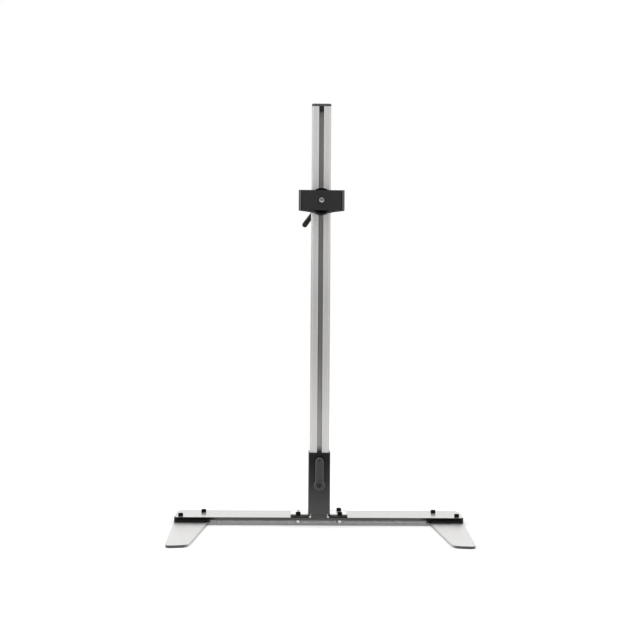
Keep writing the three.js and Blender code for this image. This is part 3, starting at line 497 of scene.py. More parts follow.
def tree_with(name, inputs):
    """Geometry tree with named inputs, the last of them the finish, and its entry node."""
    tree = bpy.data.node_groups.new(name, "GeometryNodeTree")
    tree.interface.new_socket("Geometry", in_out="INPUT", socket_type="NodeSocketGeometry")
    for label, kind in (*inputs, ("Finish", "NodeSocketMaterial")):
        tree.interface.new_socket(label, in_out="INPUT", socket_type=kind)
    tree.interface.new_socket("Geometry", in_out="OUTPUT", socket_type="NodeSocketGeometry")
    return tree, wired(tree, "NodeGroupInput")


def feed(tree, entry, *pairs):
    """Each named input of the tree goes to its sockets."""
    for label, *sockets in pairs:
        for socket in sockets:
            tree.links.new(entry.outputs[label], socket)


def ended(tree, entry, geometry):
    """The tree ends in real geometry that has the finish as its material."""
    real = wired(tree, "GeometryNodeRealizeInstances")
    coat = wired(tree, "GeometryNodeSetMaterial")
    leave = wired(tree, "NodeGroupOutput")
    tree.links.new(geometry, real.inputs["Geometry"])
    tree.links.new(real.outputs["Geometry"], coat.inputs["Geometry"])
    feed(tree, entry, ("Finish", coat.inputs["Material"]))
    tree.links.new(coat.outputs["Geometry"], leave.inputs["Geometry"])
    return tree


def grown(piece, tree, values):
    """The node tree runs on the piece with these inputs, and what it makes becomes the mesh."""
    modifier = piece.modifiers.new(tree.name, "NODES")
    modifier.node_group = tree
    for item in tree.interface.items_tree:
        if item.in_out == "INPUT" and item.name in values:
            modifier[item.identifier] = values[item.name]
    return settled(piece)


def hung(tree, part, drop, turn=0.0):
    """The part turned about X and let down along Z, by a drop that is negative."""
    shift = wired(tree, "ShaderNodeCombineXYZ")
    tree.links.new(drop, shift.inputs["Z"])
    place = wired(tree, "GeometryNodeTransform")
    place.inputs["Rotation"].default_value = (turn, 0.0, 0.0)
    tree.links.new(part.outputs["Mesh"], place.inputs["Geometry"])
    tree.links.new(shift.outputs["Vector"], place.inputs["Translation"])
    return place.outputs["Geometry"]


def screws_on_points():
    """Tree: a head from an object and a shank of a stated size at each point of the mesh."""
    tree, entry = tree_with(
        "screws_on_points",
        [
            ("Head", "NodeSocketObject"),
            ("Shank Radius", "NodeSocketFloat"),
            ("Shank Length", "NodeSocketFloat"),
            ("Tip Chamfer", "NodeSocketFloat"),
            ("Turn", "NodeSocketVector"),
        ],
    )
    radius, length, chamfer = (entry.outputs[key] for key in ("Shank Radius", "Shank Length", "Tip Chamfer"))
    head = wired(tree, "GeometryNodeObjectInfo")
    shank = wired(tree, "GeometryNodeMeshCylinder")
    tip = wired(tree, "GeometryNodeMeshCone")
    for part in (shank, tip):
        part.inputs["Vertices"].default_value = 24
    turn = wired(tree, "FunctionNodeEulerToRotation")
    spread = wired(tree, "GeometryNodeInstanceOnPoints")
    feed(
        tree,
        entry,
        ("Head", head.inputs["Object"]),
        ("Shank Radius", shank.inputs["Radius"], tip.inputs["Radius Bottom"]),
        ("Shank Length", shank.inputs["Depth"]),
        ("Tip Chamfer", tip.inputs["Depth"]),
        ("Turn", turn.inputs["Euler"]),
        ("Geometry", spread.inputs["Points"]),
    )
    tree.links.new(maths(tree, "SUBTRACT", radius, chamfer), tip.inputs["Radius Top"])
    hung_shank = hung(tree, shank, maths(tree, "MULTIPLY", length, -0.5))
    hung_tip = hung(tree, tip, maths(tree, "MULTIPLY", length, -1.0), math.pi)
    screw = wired(tree, "GeometryNodeJoinGeometry")
    for part in (head.outputs["Geometry"], hung_shank, hung_tip):
        tree.links.new(part, screw.inputs["Geometry"])
    tree.links.new(screw.outputs["Geometry"], spread.inputs["Instance"])
    tree.links.new(turn.outputs["Rotation"], spread.inputs["Rotation"])
    return ended(tree, entry, spread.outputs["Instances"])


def seats_of(nodes, head_height, axis):
    """Middle of each screw's head seat, from the boxes of its solids."""
    seats = []
    for node in nodes:
        low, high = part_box(node)
        middle = (low + high) / 2
        if axis == "Z":
            seats.append((middle.x, middle.y, high.z - head_height))
        elif axis == "Y":
            seats.append((middle.x, high.y - head_height, middle.z))
        else:
            seats.append((middle.x, low.y + head_height, middle.z))
    return seats


def screw_set(name, kind, nodes, finish, body, axis="Z"):
    """Screws of one kind as one piece, with their heads up, or towards +Y or -Y."""
    head, head_height, shank_radius = kind
    low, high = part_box(nodes[0])
    length = (high.z - low.z if axis == "Z" else high.y - low.y) - head_height
    chamfer = shank_radius * 0.2
    turn = {"Z": (0.0, 0.0, 0.35), "Y": (-math.pi / 2, 0.0, 0.0), "-Y": (math.pi / 2, 0.0, 0.0)}[axis]
    mesh = bpy.data.meshes.new(name)
    mesh.from_pydata(seats_of(nodes, head_height, axis), [], [])
    values = {
        "Head": head,
        "Shank Radius": shank_radius,
        "Shank Length": length - chamfer,
        "Tip Chamfer": chamfer,
        "Turn": turn,
        "Finish": finish,
    }
    screws = smoothed(grown(add_piece(name, mesh), screw_tree, values), 35.0)
    return finished(screws, body, "black_screws", finish, *nodes)


def black_oxide_steel(name, colour):
    """Oiled black oxide: nearly black, a little brown in patches, with a dull steel gloss."""
    material, tree, shader = new_material(name, colour, 0.6, specular=0.02)
    patches = grain(tree, 700.0, detail=3.0)
    brown = (colour[0] * 2.0 + 0.004, colour[1] * 1.8 + 0.003, colour[2] * 1.6 + 0.002)
    tone = blended(tree, between(tree, patches, 0.45, 0.75), colour, brown)
    laid_on(tree, shader, tone, between(tree, patches, 0.3, 0.7, 0.5, 0.66))
    fine_bump(tree, shader, patches, distance=0.00002, strength=0.4)
    return material


screw_tree = screws_on_points()
oxide = black_oxide_steel("black_oxide", grey(0.006))
m6_screw = cap_screw("cap_head_m6", radius=0.005, height=0.006, socket=0.005, knurls=30, shank=0.003)
leg_screws = [f"leg_screw_{row}_{side}" for row in ("front", "rear") for side in ("left", "right")]
screw_set("leg_screw_set", m6_screw, leg_screws, oxide, "base")
screw_set("foot_screw_set", m6_screw, ["foot_screw_left", "foot_screw_right"], oxide, "base")
screw_set("rear_plate_cap_screw", m6_screw, ["rear_plate_screw"], oxide, "base")


# Spacer sleeves and the low set screw: bright zinc-plated steel, turned. The sleeves sit round
# the four screws of the column plate, and the set screw has a hexagon socket in its end.
def bright_zinc(name, colour=(0.8, 0.8, 0.79), roughness=0.25):
    """Zinc plate: bright, with faint turning lines round the piece and a cloudy bloom."""
    material, tree, shader = new_material(name, colour, roughness, metallic=1.0)
    bloom = grain(tree, 260.0, detail=3.0)
    lines = grain(tree, 2600.0, (0.3, 0.3, 1.0))
    dull = (colour[0] * 0.84, colour[1] * 0.85, colour[2] * 0.86)
    tone = blended(tree, between(tree, bloom, 0.35, 0.75), colour, dull)
    laid_on(tree, shader, tone, between(tree, lines, 0.3, 0.7, roughness - 0.06, roughness + 0.1))
    fine_bump(tree, shader, lines, distance=0.00001, strength=0.4)
    return material


def centre_of(node):
    low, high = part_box(node)
    return (low + high) / 2


def turned_upright(name, node, rings, closed=False):
    """Turned piece whose rings are about Z, moved to the node's middle."""
    middle = centre_of(node)
    mesh = ring_mesh(name, rings, closed)
    mesh.transform(Matrix.Translation((middle.x, middle.y, 0)))
    return smoothed(add_piece(name, mesh))


def tube_profile(inner, outer, low, high, rim):
    """Radius and place along the axis, round the wall of a tube whose rims are broken."""
    return [
        (inner + rim, low),
        (outer - rim, low),
        (outer, low + rim),
        (outer, high - rim),
        (outer - rim, high),
        (inner + rim, high),
        (inner, high - rim),
        (inner, low + rim),
    ]


zinc = bright_zinc("bright_zinc")
sleeve_bore, sleeve_radius, sleeve_rim = 0.0033, 0.0045, 0.0003
facets = 40
for corner in ("front_left", "front_right", "rear_left", "rear_right"):
    node = f"spacer_sleeve_{corner}"
    low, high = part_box(node)
    wall = tube_profile(sleeve_bore, sleeve_radius, low.z, high.z, sleeve_rim)
    rings = [circle(radius, height, facets) for radius, height in wall]
    sleeve = turned_upright(node + "_tube", node, rings, closed=True)
    finished(sleeve, "base", "bright_steel", zinc, node)

low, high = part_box("rear_set_screw")
stub_radius, stub_chamfer = 0.003, 0.0006
socket_size, socket_flare, socket_lead, socket_depth = 0.003, 0.0003, 0.0002, 0.003
stub_rings = [
    circle(stub_radius - stub_chamfer, low.z, facets),
    circle(stub_radius, low.z + stub_chamfer, facets),
    circle(stub_radius, high.z - stub_chamfer, facets),
    circle(stub_radius - stub_chamfer, high.z, facets),
    hexagon(socket_size + socket_flare, high.z, facets),
    hexagon(socket_size, high.z - socket_lead, facets),
    hexagon(socket_size, high.z - socket_depth, facets),
]
stub = turned_upright("set_screw_stub", "rear_set_screw", stub_rings)
finished(stub, "base", "bright_steel", zinc, "rear_set_screw")


# Column plate: a thin pale aluminium plate on the top plate, brushed along the crossbar. The
# bracket's feet stand on it, and their screws go through it.
def painted_relief_light(tree, tone, middle, half_width, half_height, lit_tone):
    """The tone with a painted bright ellipse of light on each side of the middle, on faces that look
    forward, where the bends were relieved.
    """
    place = along_axes(tree)
    offset = wired(tree, "ShaderNodeCombineXYZ")
    for axis, value, centre, half in (
        ("X", maths(tree, "ABSOLUTE", place["X"]), middle[0], half_width),
        ("Z", place["Z"], middle[1], half_height),
    ):
        part_of_half = between(tree, value, centre - half, centre + half, -1.0, 1.0)
        part_of_half.node.clamp = False
        tree.links.new(part_of_half, offset.inputs[axis])
    away = wired(tree, "ShaderNodeVectorMath", operation="LENGTH")
    tree.links.new(offset.outputs["Vector"], away.inputs[0])
    inside = between(tree, away.outputs["Value"], 1.0, 0.85)
    forward = between(tree, along_axes(tree, "Normal")["Y"], -0.1, -0.4)
    return blended(tree, maths(tree, "MULTIPLY", inside, forward), tone, lit_tone)


# The column plate's front edge is painted near black as shade towards either end, and a painted dark line of
# shade runs along its rear rim.
pad_metal = plate_aluminium(
    "column_plate_aluminium",
    face=(0.78, 0.775, 0.765),
    side=(0.3, 0.3, 0.29),
    front=(0.06, 0.06, 0.059),
    brushed=brushed_along_x,
    ends=(0.0195, 0.0215, grey(0.002)),
    far_edge=(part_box("column_plate")[1].y, grey(0.02)),
    roughness=0.25,
    metal=0.72,
)
# Painted light at the relief holes: a bright ellipse on forward faces, on the column plate and on the
# bracket.
bracket_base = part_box("column_bracket")[0].z
relief_middle = (0.0183, bracket_base + 0.0013)
relief_half_width, relief_half_height = 0.0021, 0.0042
relief_light_tone = (0.95, 0.95, 0.94)
relief_light_places = (relief_middle, relief_half_width, relief_half_height, relief_light_tone)
tree, shader, tone = reopened(pad_metal)
tree.links.new(painted_relief_light(tree, tone, *relief_light_places), shader.inputs["Base Color"])
seat_rim = 0.00025
seat_plate = softened("column_plate", "seat_plate", seat_rim)
finished(seat_plate, "base", "base_aluminium", pad_metal, "column_plate")


# Column bracket: folded steel sheet with a satin black powder coat, painted lighter towards its
# foot as light from the floor, with painted highlights on its bends and painted light at its relief
# holes. Its relief holes only just touch its lower edge, so it keeps the rims of its solid.
def powder_coat(name, colour, roughness, specular, grain_scale=900.0):
    """Powder coat: black with a fine orange-peel skin, worn a little lighter in specks."""
    material, tree, shader = new_material(name, colour, roughness, specular=specular)
    peel = grain(tree, grain_scale, detail=3.0)
    broad = grain(tree, 40.0)
    lighter = tuple(c * 1.35 + 0.003 for c in colour)
    tone = blended(tree, between(tree, peel, 0.4, 0.75), colour, lighter)
    tone = blended(tree, between(tree, broad, 0.3, 0.8, 0.0, 0.35), tone, lighter)
    laid_on(tree, shader, tone, between(tree, peel, 0.3, 0.7, roughness - 0.05, roughness + 0.07))
    fine_bump(tree, shader, peel, distance=0.00004, strength=0.45)
    return material


bracket_coat = powder_coat("bracket_coat", grey(0.001), roughness=0.42, specular=0.28)
# Painted light from the floor: the coat is painted lighter from 0.13 m down to 0.03 m; the feet are set back
# to near black.
floor_light_from, floor_light_to = 0.13, 0.03
wall_ends, foot_starts = 0.0222, 0.0232
tree, shader, tone = reopened(bracket_coat)
place = along_axes(tree)
floor_light = between(tree, place["Z"], floor_light_from, floor_light_to)
tone = blended(tree, floor_light, tone, (0.057, 0.057, 0.056))
on_feet = between(tree, maths(tree, "ABSOLUTE", place["X"]), wall_ends, foot_starts)
tone = blended(tree, on_feet, tone, grey(0.002))
# Painted highlights on the bends and the faces that look sideways.
bend_highlight = between(tree, maths(tree, "ABSOLUTE", along_axes(tree, "Normal")["X"]), 0.08, 0.4, 0.0, 0.8)
tone = blended(tree, bend_highlight, tone, (0.085, 0.085, 0.084))
tree.links.new(painted_relief_light(tree, tone, *relief_light_places), shader.inputs["Base Color"])
bracket = smoothed(solid_copy("column_bracket", "bracket_sheet"))
finished(bracket, "base", "black_coated_metal", bracket_coat, "column_bracket")


# Column: a square aluminium extrusion with a T-slot in each face, clear anodised. Faint die
# lines run along it, the slots are painted a little darker than the outer faces as shade, the
# rounded corners are painted darker as shade, and painted highlight lines run down each face.
def darker(tree, tone, share):
    """The tone times a share that is a socket from 0 to 1."""
    return blended(tree, share, grey(0.0), tone)


column_metal, tree, shader = new_material("column_aluminium", (0.7, 0.69, 0.68), 0.42, metallic=0.6)
die_lines = grain(tree, 1400.0, (1.0, 1.0, 0.004), 3.0)
cloud = grain(tree, 9.0, (1.0, 1.0, 0.4))
tone = blended(tree, between(tree, die_lines, 0.35, 0.65), (0.66, 0.645, 0.63), (0.76, 0.745, 0.73))
tone = blended(tree, between(tree, cloud, 0.3, 0.75, 0.0, 0.5), tone, (0.78, 0.775, 0.76))
place = along_axes(tree)
from_middle = [maths(tree, "ABSOLUTE", place[axis]) for axis in "XY"]
outward = maths(tree, "MAXIMUM", *from_middle)
across = maths(tree, "MINIMUM", *from_middle)
# Painted highlights: pale lines down each face near its corners and along the slot's lips.
highlight_lines = ((0.0161, 0.0013), (0.0058, 0.001))
for line, half_width in highlight_lines:
    away = maths(tree, "ABSOLUTE", maths(tree, "SUBTRACT", across, line))
    highlight_share = between(tree, away, 0.0, half_width, 0.5, 0.0)
    tone = blended(tree, highlight_share, tone, (0.95, 0.94, 0.93))
# Rounded corners are painted darker as shade.
facing = along_axes(tree, "Normal")
squareness = maths(tree, "MAXIMUM", *[maths(tree, "ABSOLUTE", facing[axis]) for axis in "XY"])
tone = darker(tree, tone, between(tree, squareness, 0.72, 0.97, 0.7, 1.0))
height = place["Z"]
darker_stretch = (0.62, 0.47)
pale_stretch = (0.34, 0.2)
slot_stretch = (0.22, 0.36)
low_slot_stretch = (0.151, 0.162)
lip_face, slot_wall = 0.0195, 0.0175
# Darker from 0.62 m down to 0.47 m and below, and paler again from 0.34 m down to 0.2 m.
tone = darker(tree, tone, between(tree, height, *darker_stretch, 1.0, 0.74))
tone = blended(tree, between(tree, height, *pale_stretch, 0.0, 0.22), tone, (1.0, 0.99, 0.97))
# Painted shade in the slots, deeper higher up.
in_slot = between(tree, outward, lip_face, slot_wall)
slot_shade = between(tree, height, *slot_stretch, 0.75, 0.52)
tone = blended(tree, in_slot, tone, darker(tree, tone, slot_shade))
# The slot is darker at its foot, just above the bracket.
low_slot_darkening = darker(tree, tone, between(tree, height, *low_slot_stretch, 0.35, 1.0))
tone = blended(tree, in_slot, tone, low_slot_darkening)
laid_on(tree, shader, tone, between(tree, die_lines, 0.3, 0.7, 0.34, 0.48))
fine_bump(tree, shader, die_lines, distance=0.00002, strength=0.5)
column = softened("column", "slotted_column", rim=0.0003)
finished(column, "column", "column_aluminium", column_metal, "column")

# Column cap: a moulded black plastic cap with a soft rim, pressed into the column's end. Its
# prongs in the slots are darker than its plate.
cap_plastic = black_moulding("cap_plastic", (0.06, 0.06, 0.061), roughness=0.5, specular=0.3)
tree, shader, tone = reopened(cap_plastic)
column_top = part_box("column")[1].z
on_plate = between(tree, along_axes(tree)["Z"], column_top, column_top + 0.0004)
tree.links.new(blended(tree, on_plate, grey(0.008), tone), shader.inputs["Base Color"])
end_cap = softened("column_cap", "end_cap", rim=0.0005, segments=3)
finished(end_cap, "column", "black_plastic", cap_plastic, "column_cap")

# Carriage: a black coated block round the column with a round boss in front, closed behind by
# a bridge that four small cap screws hold.
carriage_coat = powder_coat("carriage_coat", (0.012, 0.012, 0.0125), roughness=0.45, specular=0.25)
for node, name in (("carriage_body", "carriage_block"), ("carriage_bridge", "carriage_rear_bridge")):
    finished(softened(node, name, rim=0.0005), "carriage", "black_coated_metal", carriage_coat, node)
m4_screw = cap_screw("cap_head_m4", radius=0.0035, height=0.004, socket=0.003, knurls=24, shank=0.002)
bridge_screws = [f"bridge_screw_{row}_{side}" for row in ("lower", "upper") for side in ("left", "right")]
screw_set("bridge_screw_set", m4_screw, bridge_screws, oxide, "carriage", "Y")


# Camera arm: a black coated block that tapers back to a round flange, with a rubber pad
# between two lips on its face. The lips are painted lighter as highlights, the groove at the pad
# is painted dark as shade, and the undersides are painted darker as shade.
def ring_about_y(radius, y, count, centre):
    points = []
    for i in range(count):
        angle = 2 * math.pi * i / count
        points.append((centre.x + radius * math.cos(angle), y, centre.z + radius * math.sin(angle)))
    return points


arm_coat = powder_coat("arm_coat", (0.01, 0.01, 0.0105), roughness=0.42, specular=0.3)
tree, shader, tone = reopened(arm_coat)
facing = along_axes(tree, "Normal")
low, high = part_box("camera_pad")
pad_middle = centre_of("camera_pad")
groove_starts = (high.x - low.x) / 2 + 0.0012
lip_starts = (high.x - low.x) / 2 + 0.002
sideways = maths(tree, "ABSOLUTE", maths(tree, "SUBTRACT", along_axes(tree)["X"], pad_middle.x))
# The lips are painted lighter as highlights on faces that look forward, and the groove beside the pad is
# painted dark as shade.
lip_light_groove_shade = blended(tree, between(tree, sideways, groove_starts, lip_starts), grey(0.001), grey(0.11))
tone = blended(tree, between(tree, facing["Y"], -0.6, -0.95), tone, lip_light_groove_shade)
# Undersides are painted darker as shade, and made matt.
shade_beneath = between(tree, facing["Z"], -0.3, -0.8)
tone = blended(tree, shade_beneath, tone, grey(0.004))
coat_roughness = shader.inputs["Roughness"].links[0].from_socket
matt_beneath = between(tree, shade_beneath, 0.0, 1.0, 0.0, 0.95)
laid_on(tree, shader, tone, maths(tree, "MAXIMUM", coat_roughness, matt_beneath))
arm_block = softened("camera_arm", "arm_block", rim=0.0006)
finished(arm_block, "camera_arm", "black_coated_metal", arm_coat, "camera_arm")

pad_rubber = powder_coat("pad_rubber", (0.02, 0.02, 0.0205), 0.8, 0.2, grain_scale=2200.0)
ribs = 30
rib_depth = 0.0003
rib_shares = ((0.1, 1.0), (0.22, 0.2), (0.4, 0.0), (0.7, 0.0), (0.88, 0.2))
pad_rim = 0.0003
hole_radius = 0.0052
overrun = 0.002
pitch = (high.x - low.x) / ribs
outline = [(low.x, high.y)]
for i in range(ribs):
    for share, depth_share in rib_shares:
        outline.append((low.x + i * pitch + share * pitch, low.y + depth_share * rib_depth))
outline += [(high.x, low.y + rib_depth), (high.x, high.y)]
blunt = [(x, max(y, low.y + pad_rim)) for x, y in outline]
pad_rings = [
    [(x, y, low.z) for x, y in blunt],
    [(x, y, low.z + pad_rim) for x, y in outline],
    [(x, y, high.z - pad_rim) for x, y in outline],
    [(x, y, high.z) for x, y in blunt],
]
face_pad = add_piece("face_pad", ring_mesh("face_pad", pad_rings))
screw_hole = [ring_about_y(hole_radius, y, 64, pad_middle) for y in (low.y - overrun, high.y + overrun)]
hole_cutter = add_piece("pad_hole_cutter", ring_mesh("pad_hole_cutter", screw_hole))
cut = face_pad.modifiers.new("screw hole", "BOOLEAN")
cut.operation = "DIFFERENCE"
cut.solver = "EXACT"
cut.object = hole_cutter
settled(face_pad)
bpy.data.objects.remove(hole_cutter)
finished(smoothed(face_pad, 50.0), "camera_arm", "black_rubber", pad_rubber, "camera_pad")


# Thumb wheel: a black moulded disc on the camera screw. A node tree sets the ridges of its grip
# round the rim.
def turned_piece(name, node, profile, count=56, closed=False):
    """Turned piece about the line along Y through the node's middle; profile is (radius, y)."""
    centre = centre_of(node)
    rings = [ring_about_y(radius, y, count, centre) for radius, y in profile]
    return smoothed(add_piece(name, ring_mesh(name, rings, closed)), 30.0)


def ridges_round_rim():
    """Tree: half-round ridges on a circle about Y, joined to the body they grow from."""
    tree, entry = tree_with(
        "ridges_round_rim",
        [
            ("Count", "NodeSocketInt"),
            ("Rim Radius", "NodeSocketFloat"),
            ("Ridge Radius", "NodeSocketFloat"),
            ("Ridge Length", "NodeSocketFloat"),
            ("Middle", "NodeSocketVector"),
        ],
    )
    rim = wired(tree, "GeometryNodeMeshCircle")
    ridge = wired(tree, "GeometryNodeMeshCylinder")
    ridge.inputs["Vertices"].default_value = 10
    spread = wired(tree, "GeometryNodeInstanceOnPoints")
    place = wired(tree, "GeometryNodeTransform")
    place.inputs["Rotation"].default_value = (math.pi / 2, 0.0, 0.0)
    whole = wired(tree, "GeometryNodeJoinGeometry")
    feed(
        tree,
        entry,
        ("Count", rim.inputs["Vertices"]),
        ("Rim Radius", rim.inputs["Radius"]),
        ("Ridge Radius", ridge.inputs["Radius"]),
        ("Ridge Length", ridge.inputs["Depth"]),
        ("Middle", place.inputs["Translation"]),
        ("Geometry", whole.inputs["Geometry"]),
    )
    tree.links.new(rim.outputs["Mesh"], spread.inputs["Points"])
    tree.links.new(ridge.outputs["Mesh"], spread.inputs["Instance"])
    tree.links.new(spread.outputs["Instances"], place.inputs["Geometry"])
    tree.links.new(place.outputs["Geometry"], whole.inputs["Geometry"])
    return ended(tree, entry, whole.outputs["Geometry"])


# The wheel's own black, set darker and duller than the other black plastics as painted shade, for the shadow
# it sits in under the arm.
wheel_plastic = black_moulding("wheel_plastic", grey(0.001), roughness=0.75, specular=0.03)
low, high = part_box("thumb_wheel")
wheel_bore = 0.00405
face_radius, face_step = 0.0205, 0.0005
step_start, step_end = 0.0212, 0.0232
rim_radius, rim_round = 0.0247, 0.0004
rim_inset, rim_shoulder = 0.0009, 0.0016
half_profile = [
    (wheel_bore, 0.0),
    (face_radius, 0.0),
    (step_start, face_step),
    (step_end, face_step),
    (rim_radius - rim_round, rim_inset),
    (rim_radius, rim_shoulder),
]
wheel_profile = [(radius, low.y + inset) for radius, inset in half_profile]
wheel_profile += [(radius, high.y - inset) for radius, inset in reversed(half_profile)]
ridges = 72
ridge_radius, ridge_inset = 0.00055, 0.0011
wheel = turned_piece("knurled_wheel", "thumb_wheel", wheel_profile, ridges, closed=True)
grip = {
    "Count": ridges,
    "Rim Radius": rim_radius,
    "Ridge Radius": ridge_radius,
    "Ridge Length": high.y - low.y - 2 * ridge_inset,
    "Middle": centre_of("thumb_wheel"),
    "Finish": wheel_plastic,
}
wheel = smoothed(grown(wheel, ridges_round_rim(), grip), 50.0)
finished(wheel, "camera_screw", "black_plastic", wheel_plastic, "thumb_wheel")

# Camera screw: bright steel, turned, with a broad shoulder in the arm's face, a cut thread of
# 1.27 mm pitch in front of it and a centre hole in its tip.
screw_steel = bright_zinc("camera_screw_steel", (0.7, 0.7, 0.69), 0.3)
low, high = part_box("camera_screw")
# The end of the tip is painted darker as shade, fading into the bright steel behind it.
dark_depth, bright_depth = 0.0002, 0.0035
tree, shader, tone = reopened(screw_steel)
tip_shade_fade = between(tree, along_axes(tree)["Y"], low.y + dark_depth, low.y + bright_depth)
tree.links.new(blended(tree, tip_shade_fade, grey(0.16), tone), shader.inputs["Base Color"])
thread_pitch = 0.00127
thread_radius, thread_depth, root_radius = 0.003175, 0.00062, 0.0023
tip_radius, tip_length = 0.00245, 0.0009
thread_starts, thread_ends, thread_length = 0.0004, 0.0058, 0.006
neck_radius = 0.0026
shoulder_radius, shoulder_chamfer, shoulder_length = 0.00485, 0.00025, 0.0072
stem_radius, stem_step, stem_chamfer = 0.004, 0.0002, 0.0004
facets, rows = 48, 64
middle = centre_of("camera_screw")
tip, shoulder = low.y, low.y + thread_length
centre_hole = ((0.0002, 0.0011), (0.0011, 0.0002), (0.0013, 0.0), (0.0024, 0.0))
rings = [ring_about_y(radius, tip + depth, facets, middle) for radius, depth in centre_hole]
for row in range(rows + 1):
    y = tip + thread_starts + (thread_ends - thread_starts) * row / rows
    ring = []
    for i in range(facets):
        angle = 2 * math.pi * i / facets
        phase = ((y - tip) / thread_pitch - i / facets) % 1.0
        depth = thread_depth * (1 - abs(2 * phase - 1))
        lead = min(1.0, (y - tip) / tip_length)
        radius = max(root_radius, tip_radius + (thread_radius - tip_radius - depth) * lead)
        ring.append((middle.x + radius * math.cos(angle), y, middle.z + radius * math.sin(angle)))
    rings.append(ring)
rear_profile = (
    (neck_radius, shoulder),
    (shoulder_radius - shoulder_chamfer, shoulder),
    (shoulder_radius, shoulder + shoulder_chamfer),
    (shoulder_radius, shoulder + shoulder_length),
    (stem_radius, shoulder + shoulder_length + stem_step),
    (stem_radius, high.y - stem_chamfer),
    (stem_radius - stem_chamfer, high.y),
)
rings += [ring_about_y(radius, y, facets, middle) for radius, y in rear_profile]
threaded = smoothed(add_piece("threaded_screw", ring_mesh("threaded_screw", rings)), 50.0)
finished(threaded, "camera_screw", "bright_steel", screw_steel, "camera_screw")


# Clamp levers' handles: black glass-filled nylon, moulded in one with their hubs, so every
# corner has a fillet and the skin has a fine texture. The front one's rounds are painted paler as
# highlights.
def moulded(node, name, cell, rounds):
    """The solid remeshed in cells and evened out, which gives every corner a fillet."""
    piece = solid_copy(node, name)
    cells = piece.modifiers.new("skin", "REMESH")
    cells.mode = "VOXEL"
    cells.voxel_size = cell
    fillets = piece.modifiers.new("fillets", "SMOOTH")
    fillets.factor = 0.5
    fillets.iterations = rounds
    return smoothed(settled(piece), 80.0)


lever_nylon = black_moulding("lever_nylon", (0.02, 0.02, 0.0205), roughness=0.36, specular=0.5)
tree, shader, tone = reopened(lever_nylon)
# Painted highlights: the rounded rims, which face sideways, take a paler tone.
frontness = maths(tree, "ABSOLUTE", along_axes(tree, "Normal")["Y"])
round_highlight = between(tree, frontness, 0.97, 0.75)
tree.links.new(blended(tree, round_highlight, tone, grey(0.075)), shader.inputs["Base Color"])
front_handle = moulded("front_lever_handle", "flat_lever", cell=0.00038, rounds=12)
finished(front_handle, "front_handle", "black_plastic", lever_nylon, "front_lever_handle")
rear_nylon = black_moulding("rear_lever_nylon", (0.006, 0.006, 0.0062), roughness=0.55, specular=0.25)
rear_handle = moulded("rear_lever_handle", "round_lever", cell=0.0004, rounds=8)
finished(rear_handle, "rear_handle", "black_plastic", rear_nylon, "rear_lever_handle")

# Screws that hold the handles on their inserts: small cap screws of black oxide steel, sunk in
# the hubs.
# These screws' black oxide is painted lighter than the base's, as painted light in the hub recesses.
lit_lever_oxide = black_oxide_steel("lever_screw_oxide", grey(0.036))
lever_screw = cap_screw(
    "lever_cap_head", radius=0.0041, height=0.0026, socket=0.0025, knurls=24, shank=0.002
)
for end, axis in (("front", "-Y"), ("rear", "Y")):
    name = f"{end}_lever_cap_screw"
    screw_set(name, lever_screw, [f"{end}_lever_screw"], lit_lever_oxide, f"{end}_clamp", axis)

# Inserts and washers of the levers: zinc-plated steel, turned, and the inserts then toothed. Each
# washer lies between its insert and the face that the lever clamps on.
washer_bore, washer_radius, washer_rim = 0.0043, 0.0085, 0.00015
for end in ("front", "rear"):
    insert = softened(f"{end}_lever_insert", f"{end}_toothed_insert", rim=0.00015)
    finished(insert, f"{end}_clamp", "bright_steel", zinc, f"{end}_lever_insert")
for end, body in (("front", "base"), ("rear", "carriage")):
    node = f"{end}_lever_washer"
    low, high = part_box(node)
    wall = tube_profile(washer_bore, washer_radius, low.y, high.y, washer_rim)
    washer = turned_piece(f"{end}_flat_washer", node, wall, closed=True)
    finished(washer, body, "bright_steel", zinc, node)

# Slot nut behind the lips of the column's front slot: zinc-plated steel, milled. The front
# lever's stud goes through the bracket's front wall and draws it against the lips.
nut = softened("front_slot_nut", "slot_nut", rim=0.0002)
finished(nut, "base", "bright_steel", zinc, "front_slot_nut")

# Glides, pressure shoe and friction washer: natural nylon, cut from sheet. The glides line the
# carriage, the rear stud presses the shoe on the column, and the washer is in the swivel joint.
nylon, tree, shader = new_material("natural_nylon", (0.8, 0.78, 0.7), 0.5)
milk = grain(tree, 120.0)
tree.links.new(blended(tree, milk, (0.76, 0.73, 0.66), (0.82, 0.8, 0.74)), shader.inputs["Base Color"])
for node in ("front_glide", "left_glide", "right_glide", "pressure_shoe"):
    finished(softened(node, node + "_strip", rim=0.0002), "carriage", "white_nylon", nylon, node)
low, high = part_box("swivel_washer")
friction_bore, friction_radius, friction_rim = 0.0043, 0.021, 0.0002
friction_profile = [
    (friction_bore, low.y),
    (friction_radius - friction_rim, low.y),
    (friction_radius, low.y + friction_rim),
    (friction_radius, high.y - friction_rim),
    (friction_radius - friction_rim, high.y),
    (friction_bore, high.y),
]
friction_washer = turned_piece("friction_washer", "swivel_washer", friction_profile, 72, closed=True)
finished(friction_washer, "carriage", "white_nylon", nylon, "swivel_washer")

# Swivel screw: a black oxide screw with a broad thin head, put in from the column's side. It
# holds the arm's flange on the carriage's boss and turns with the arm.
swivel = cap_screw("swivel_cap_head", radius=0.008, height=0.004, socket=0.006, knurls=36, shank=0.004)
screw_set("swivel_cap_screw", swivel, ["swivel_screw"], oxide, "camera_arm", "Y")


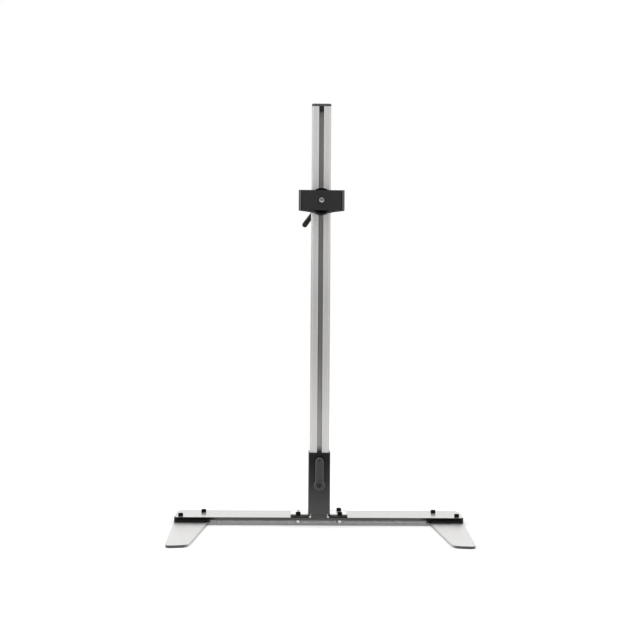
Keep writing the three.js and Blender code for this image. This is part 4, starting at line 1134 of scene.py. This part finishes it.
# Springs of the levers: short compression springs of bright wire round the screws. A node tree
# coils the wire.
def coiled_wire():
    """Tree: a round wire coiled along Z from the origin, then turned and set in its place."""
    tree, entry = tree_with(
        "coiled_wire",
        [
            ("Turns", "NodeSocketFloat"),
            ("Coil Radius", "NodeSocketFloat"),
            ("Wire Radius", "NodeSocketFloat"),
            ("Height", "NodeSocketFloat"),
            ("Turn", "NodeSocketVector"),
            ("Start", "NodeSocketVector"),
        ],
    )
    coil = wired(tree, "GeometryNodeCurveSpiral")
    coil.inputs["Resolution"].default_value = 32
    wire = wired(tree, "GeometryNodeCurvePrimitiveCircle")
    wire.inputs["Resolution"].default_value = 12
    body = wired(tree, "GeometryNodeCurveToMesh")
    body.inputs["Fill Caps"].default_value = True
    turn = wired(tree, "FunctionNodeEulerToRotation")
    place = wired(tree, "GeometryNodeTransform")
    feed(
        tree,
        entry,
        ("Turns", coil.inputs["Rotations"]),
        ("Coil Radius", coil.inputs["Start Radius"], coil.inputs["End Radius"]),
        ("Height", coil.inputs["Height"]),
        ("Wire Radius", wire.inputs["Radius"]),
        ("Turn", turn.inputs["Euler"]),
        ("Start", place.inputs["Translation"]),
    )
    tree.links.new(coil.outputs["Curve"], body.inputs["Curve"])
    tree.links.new(wire.outputs["Curve"], body.inputs["Profile Curve"])
    tree.links.new(body.outputs["Mesh"], place.inputs["Geometry"])
    tree.links.new(turn.outputs["Rotation"], place.inputs["Rotation"])
    return ended(tree, entry, place.outputs["Geometry"])


coil_tree = coiled_wire()
coil_radius = 0.0033
wire_radius = 0.0003
for end, outward in (("front", -1), ("rear", 1)):
    node = f"{end}_lever_spring"
    low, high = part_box(node)
    middle = centre_of(node)
    length = high.y - low.y
    inner_end = middle.y - outward * (length / 2 - wire_radius)
    coil_values = {
        "Turns": 3.5,
        "Coil Radius": coil_radius,
        "Wire Radius": wire_radius,
        "Height": length - 2 * wire_radius,
        "Turn": (-outward * math.pi / 2, 0.0, 0.0),
        "Start": (middle.x, inner_end, middle.z),
        "Finish": zinc,
    }
    name = f"{end}_coil_spring"
    spring = smoothed(grown(add_piece(name, bpy.data.meshes.new(name)), coil_tree, coil_values), 50.0)
    finished(spring, f"{end}_clamp", "bright_steel", zinc, node)
    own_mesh(spring)

low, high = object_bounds()
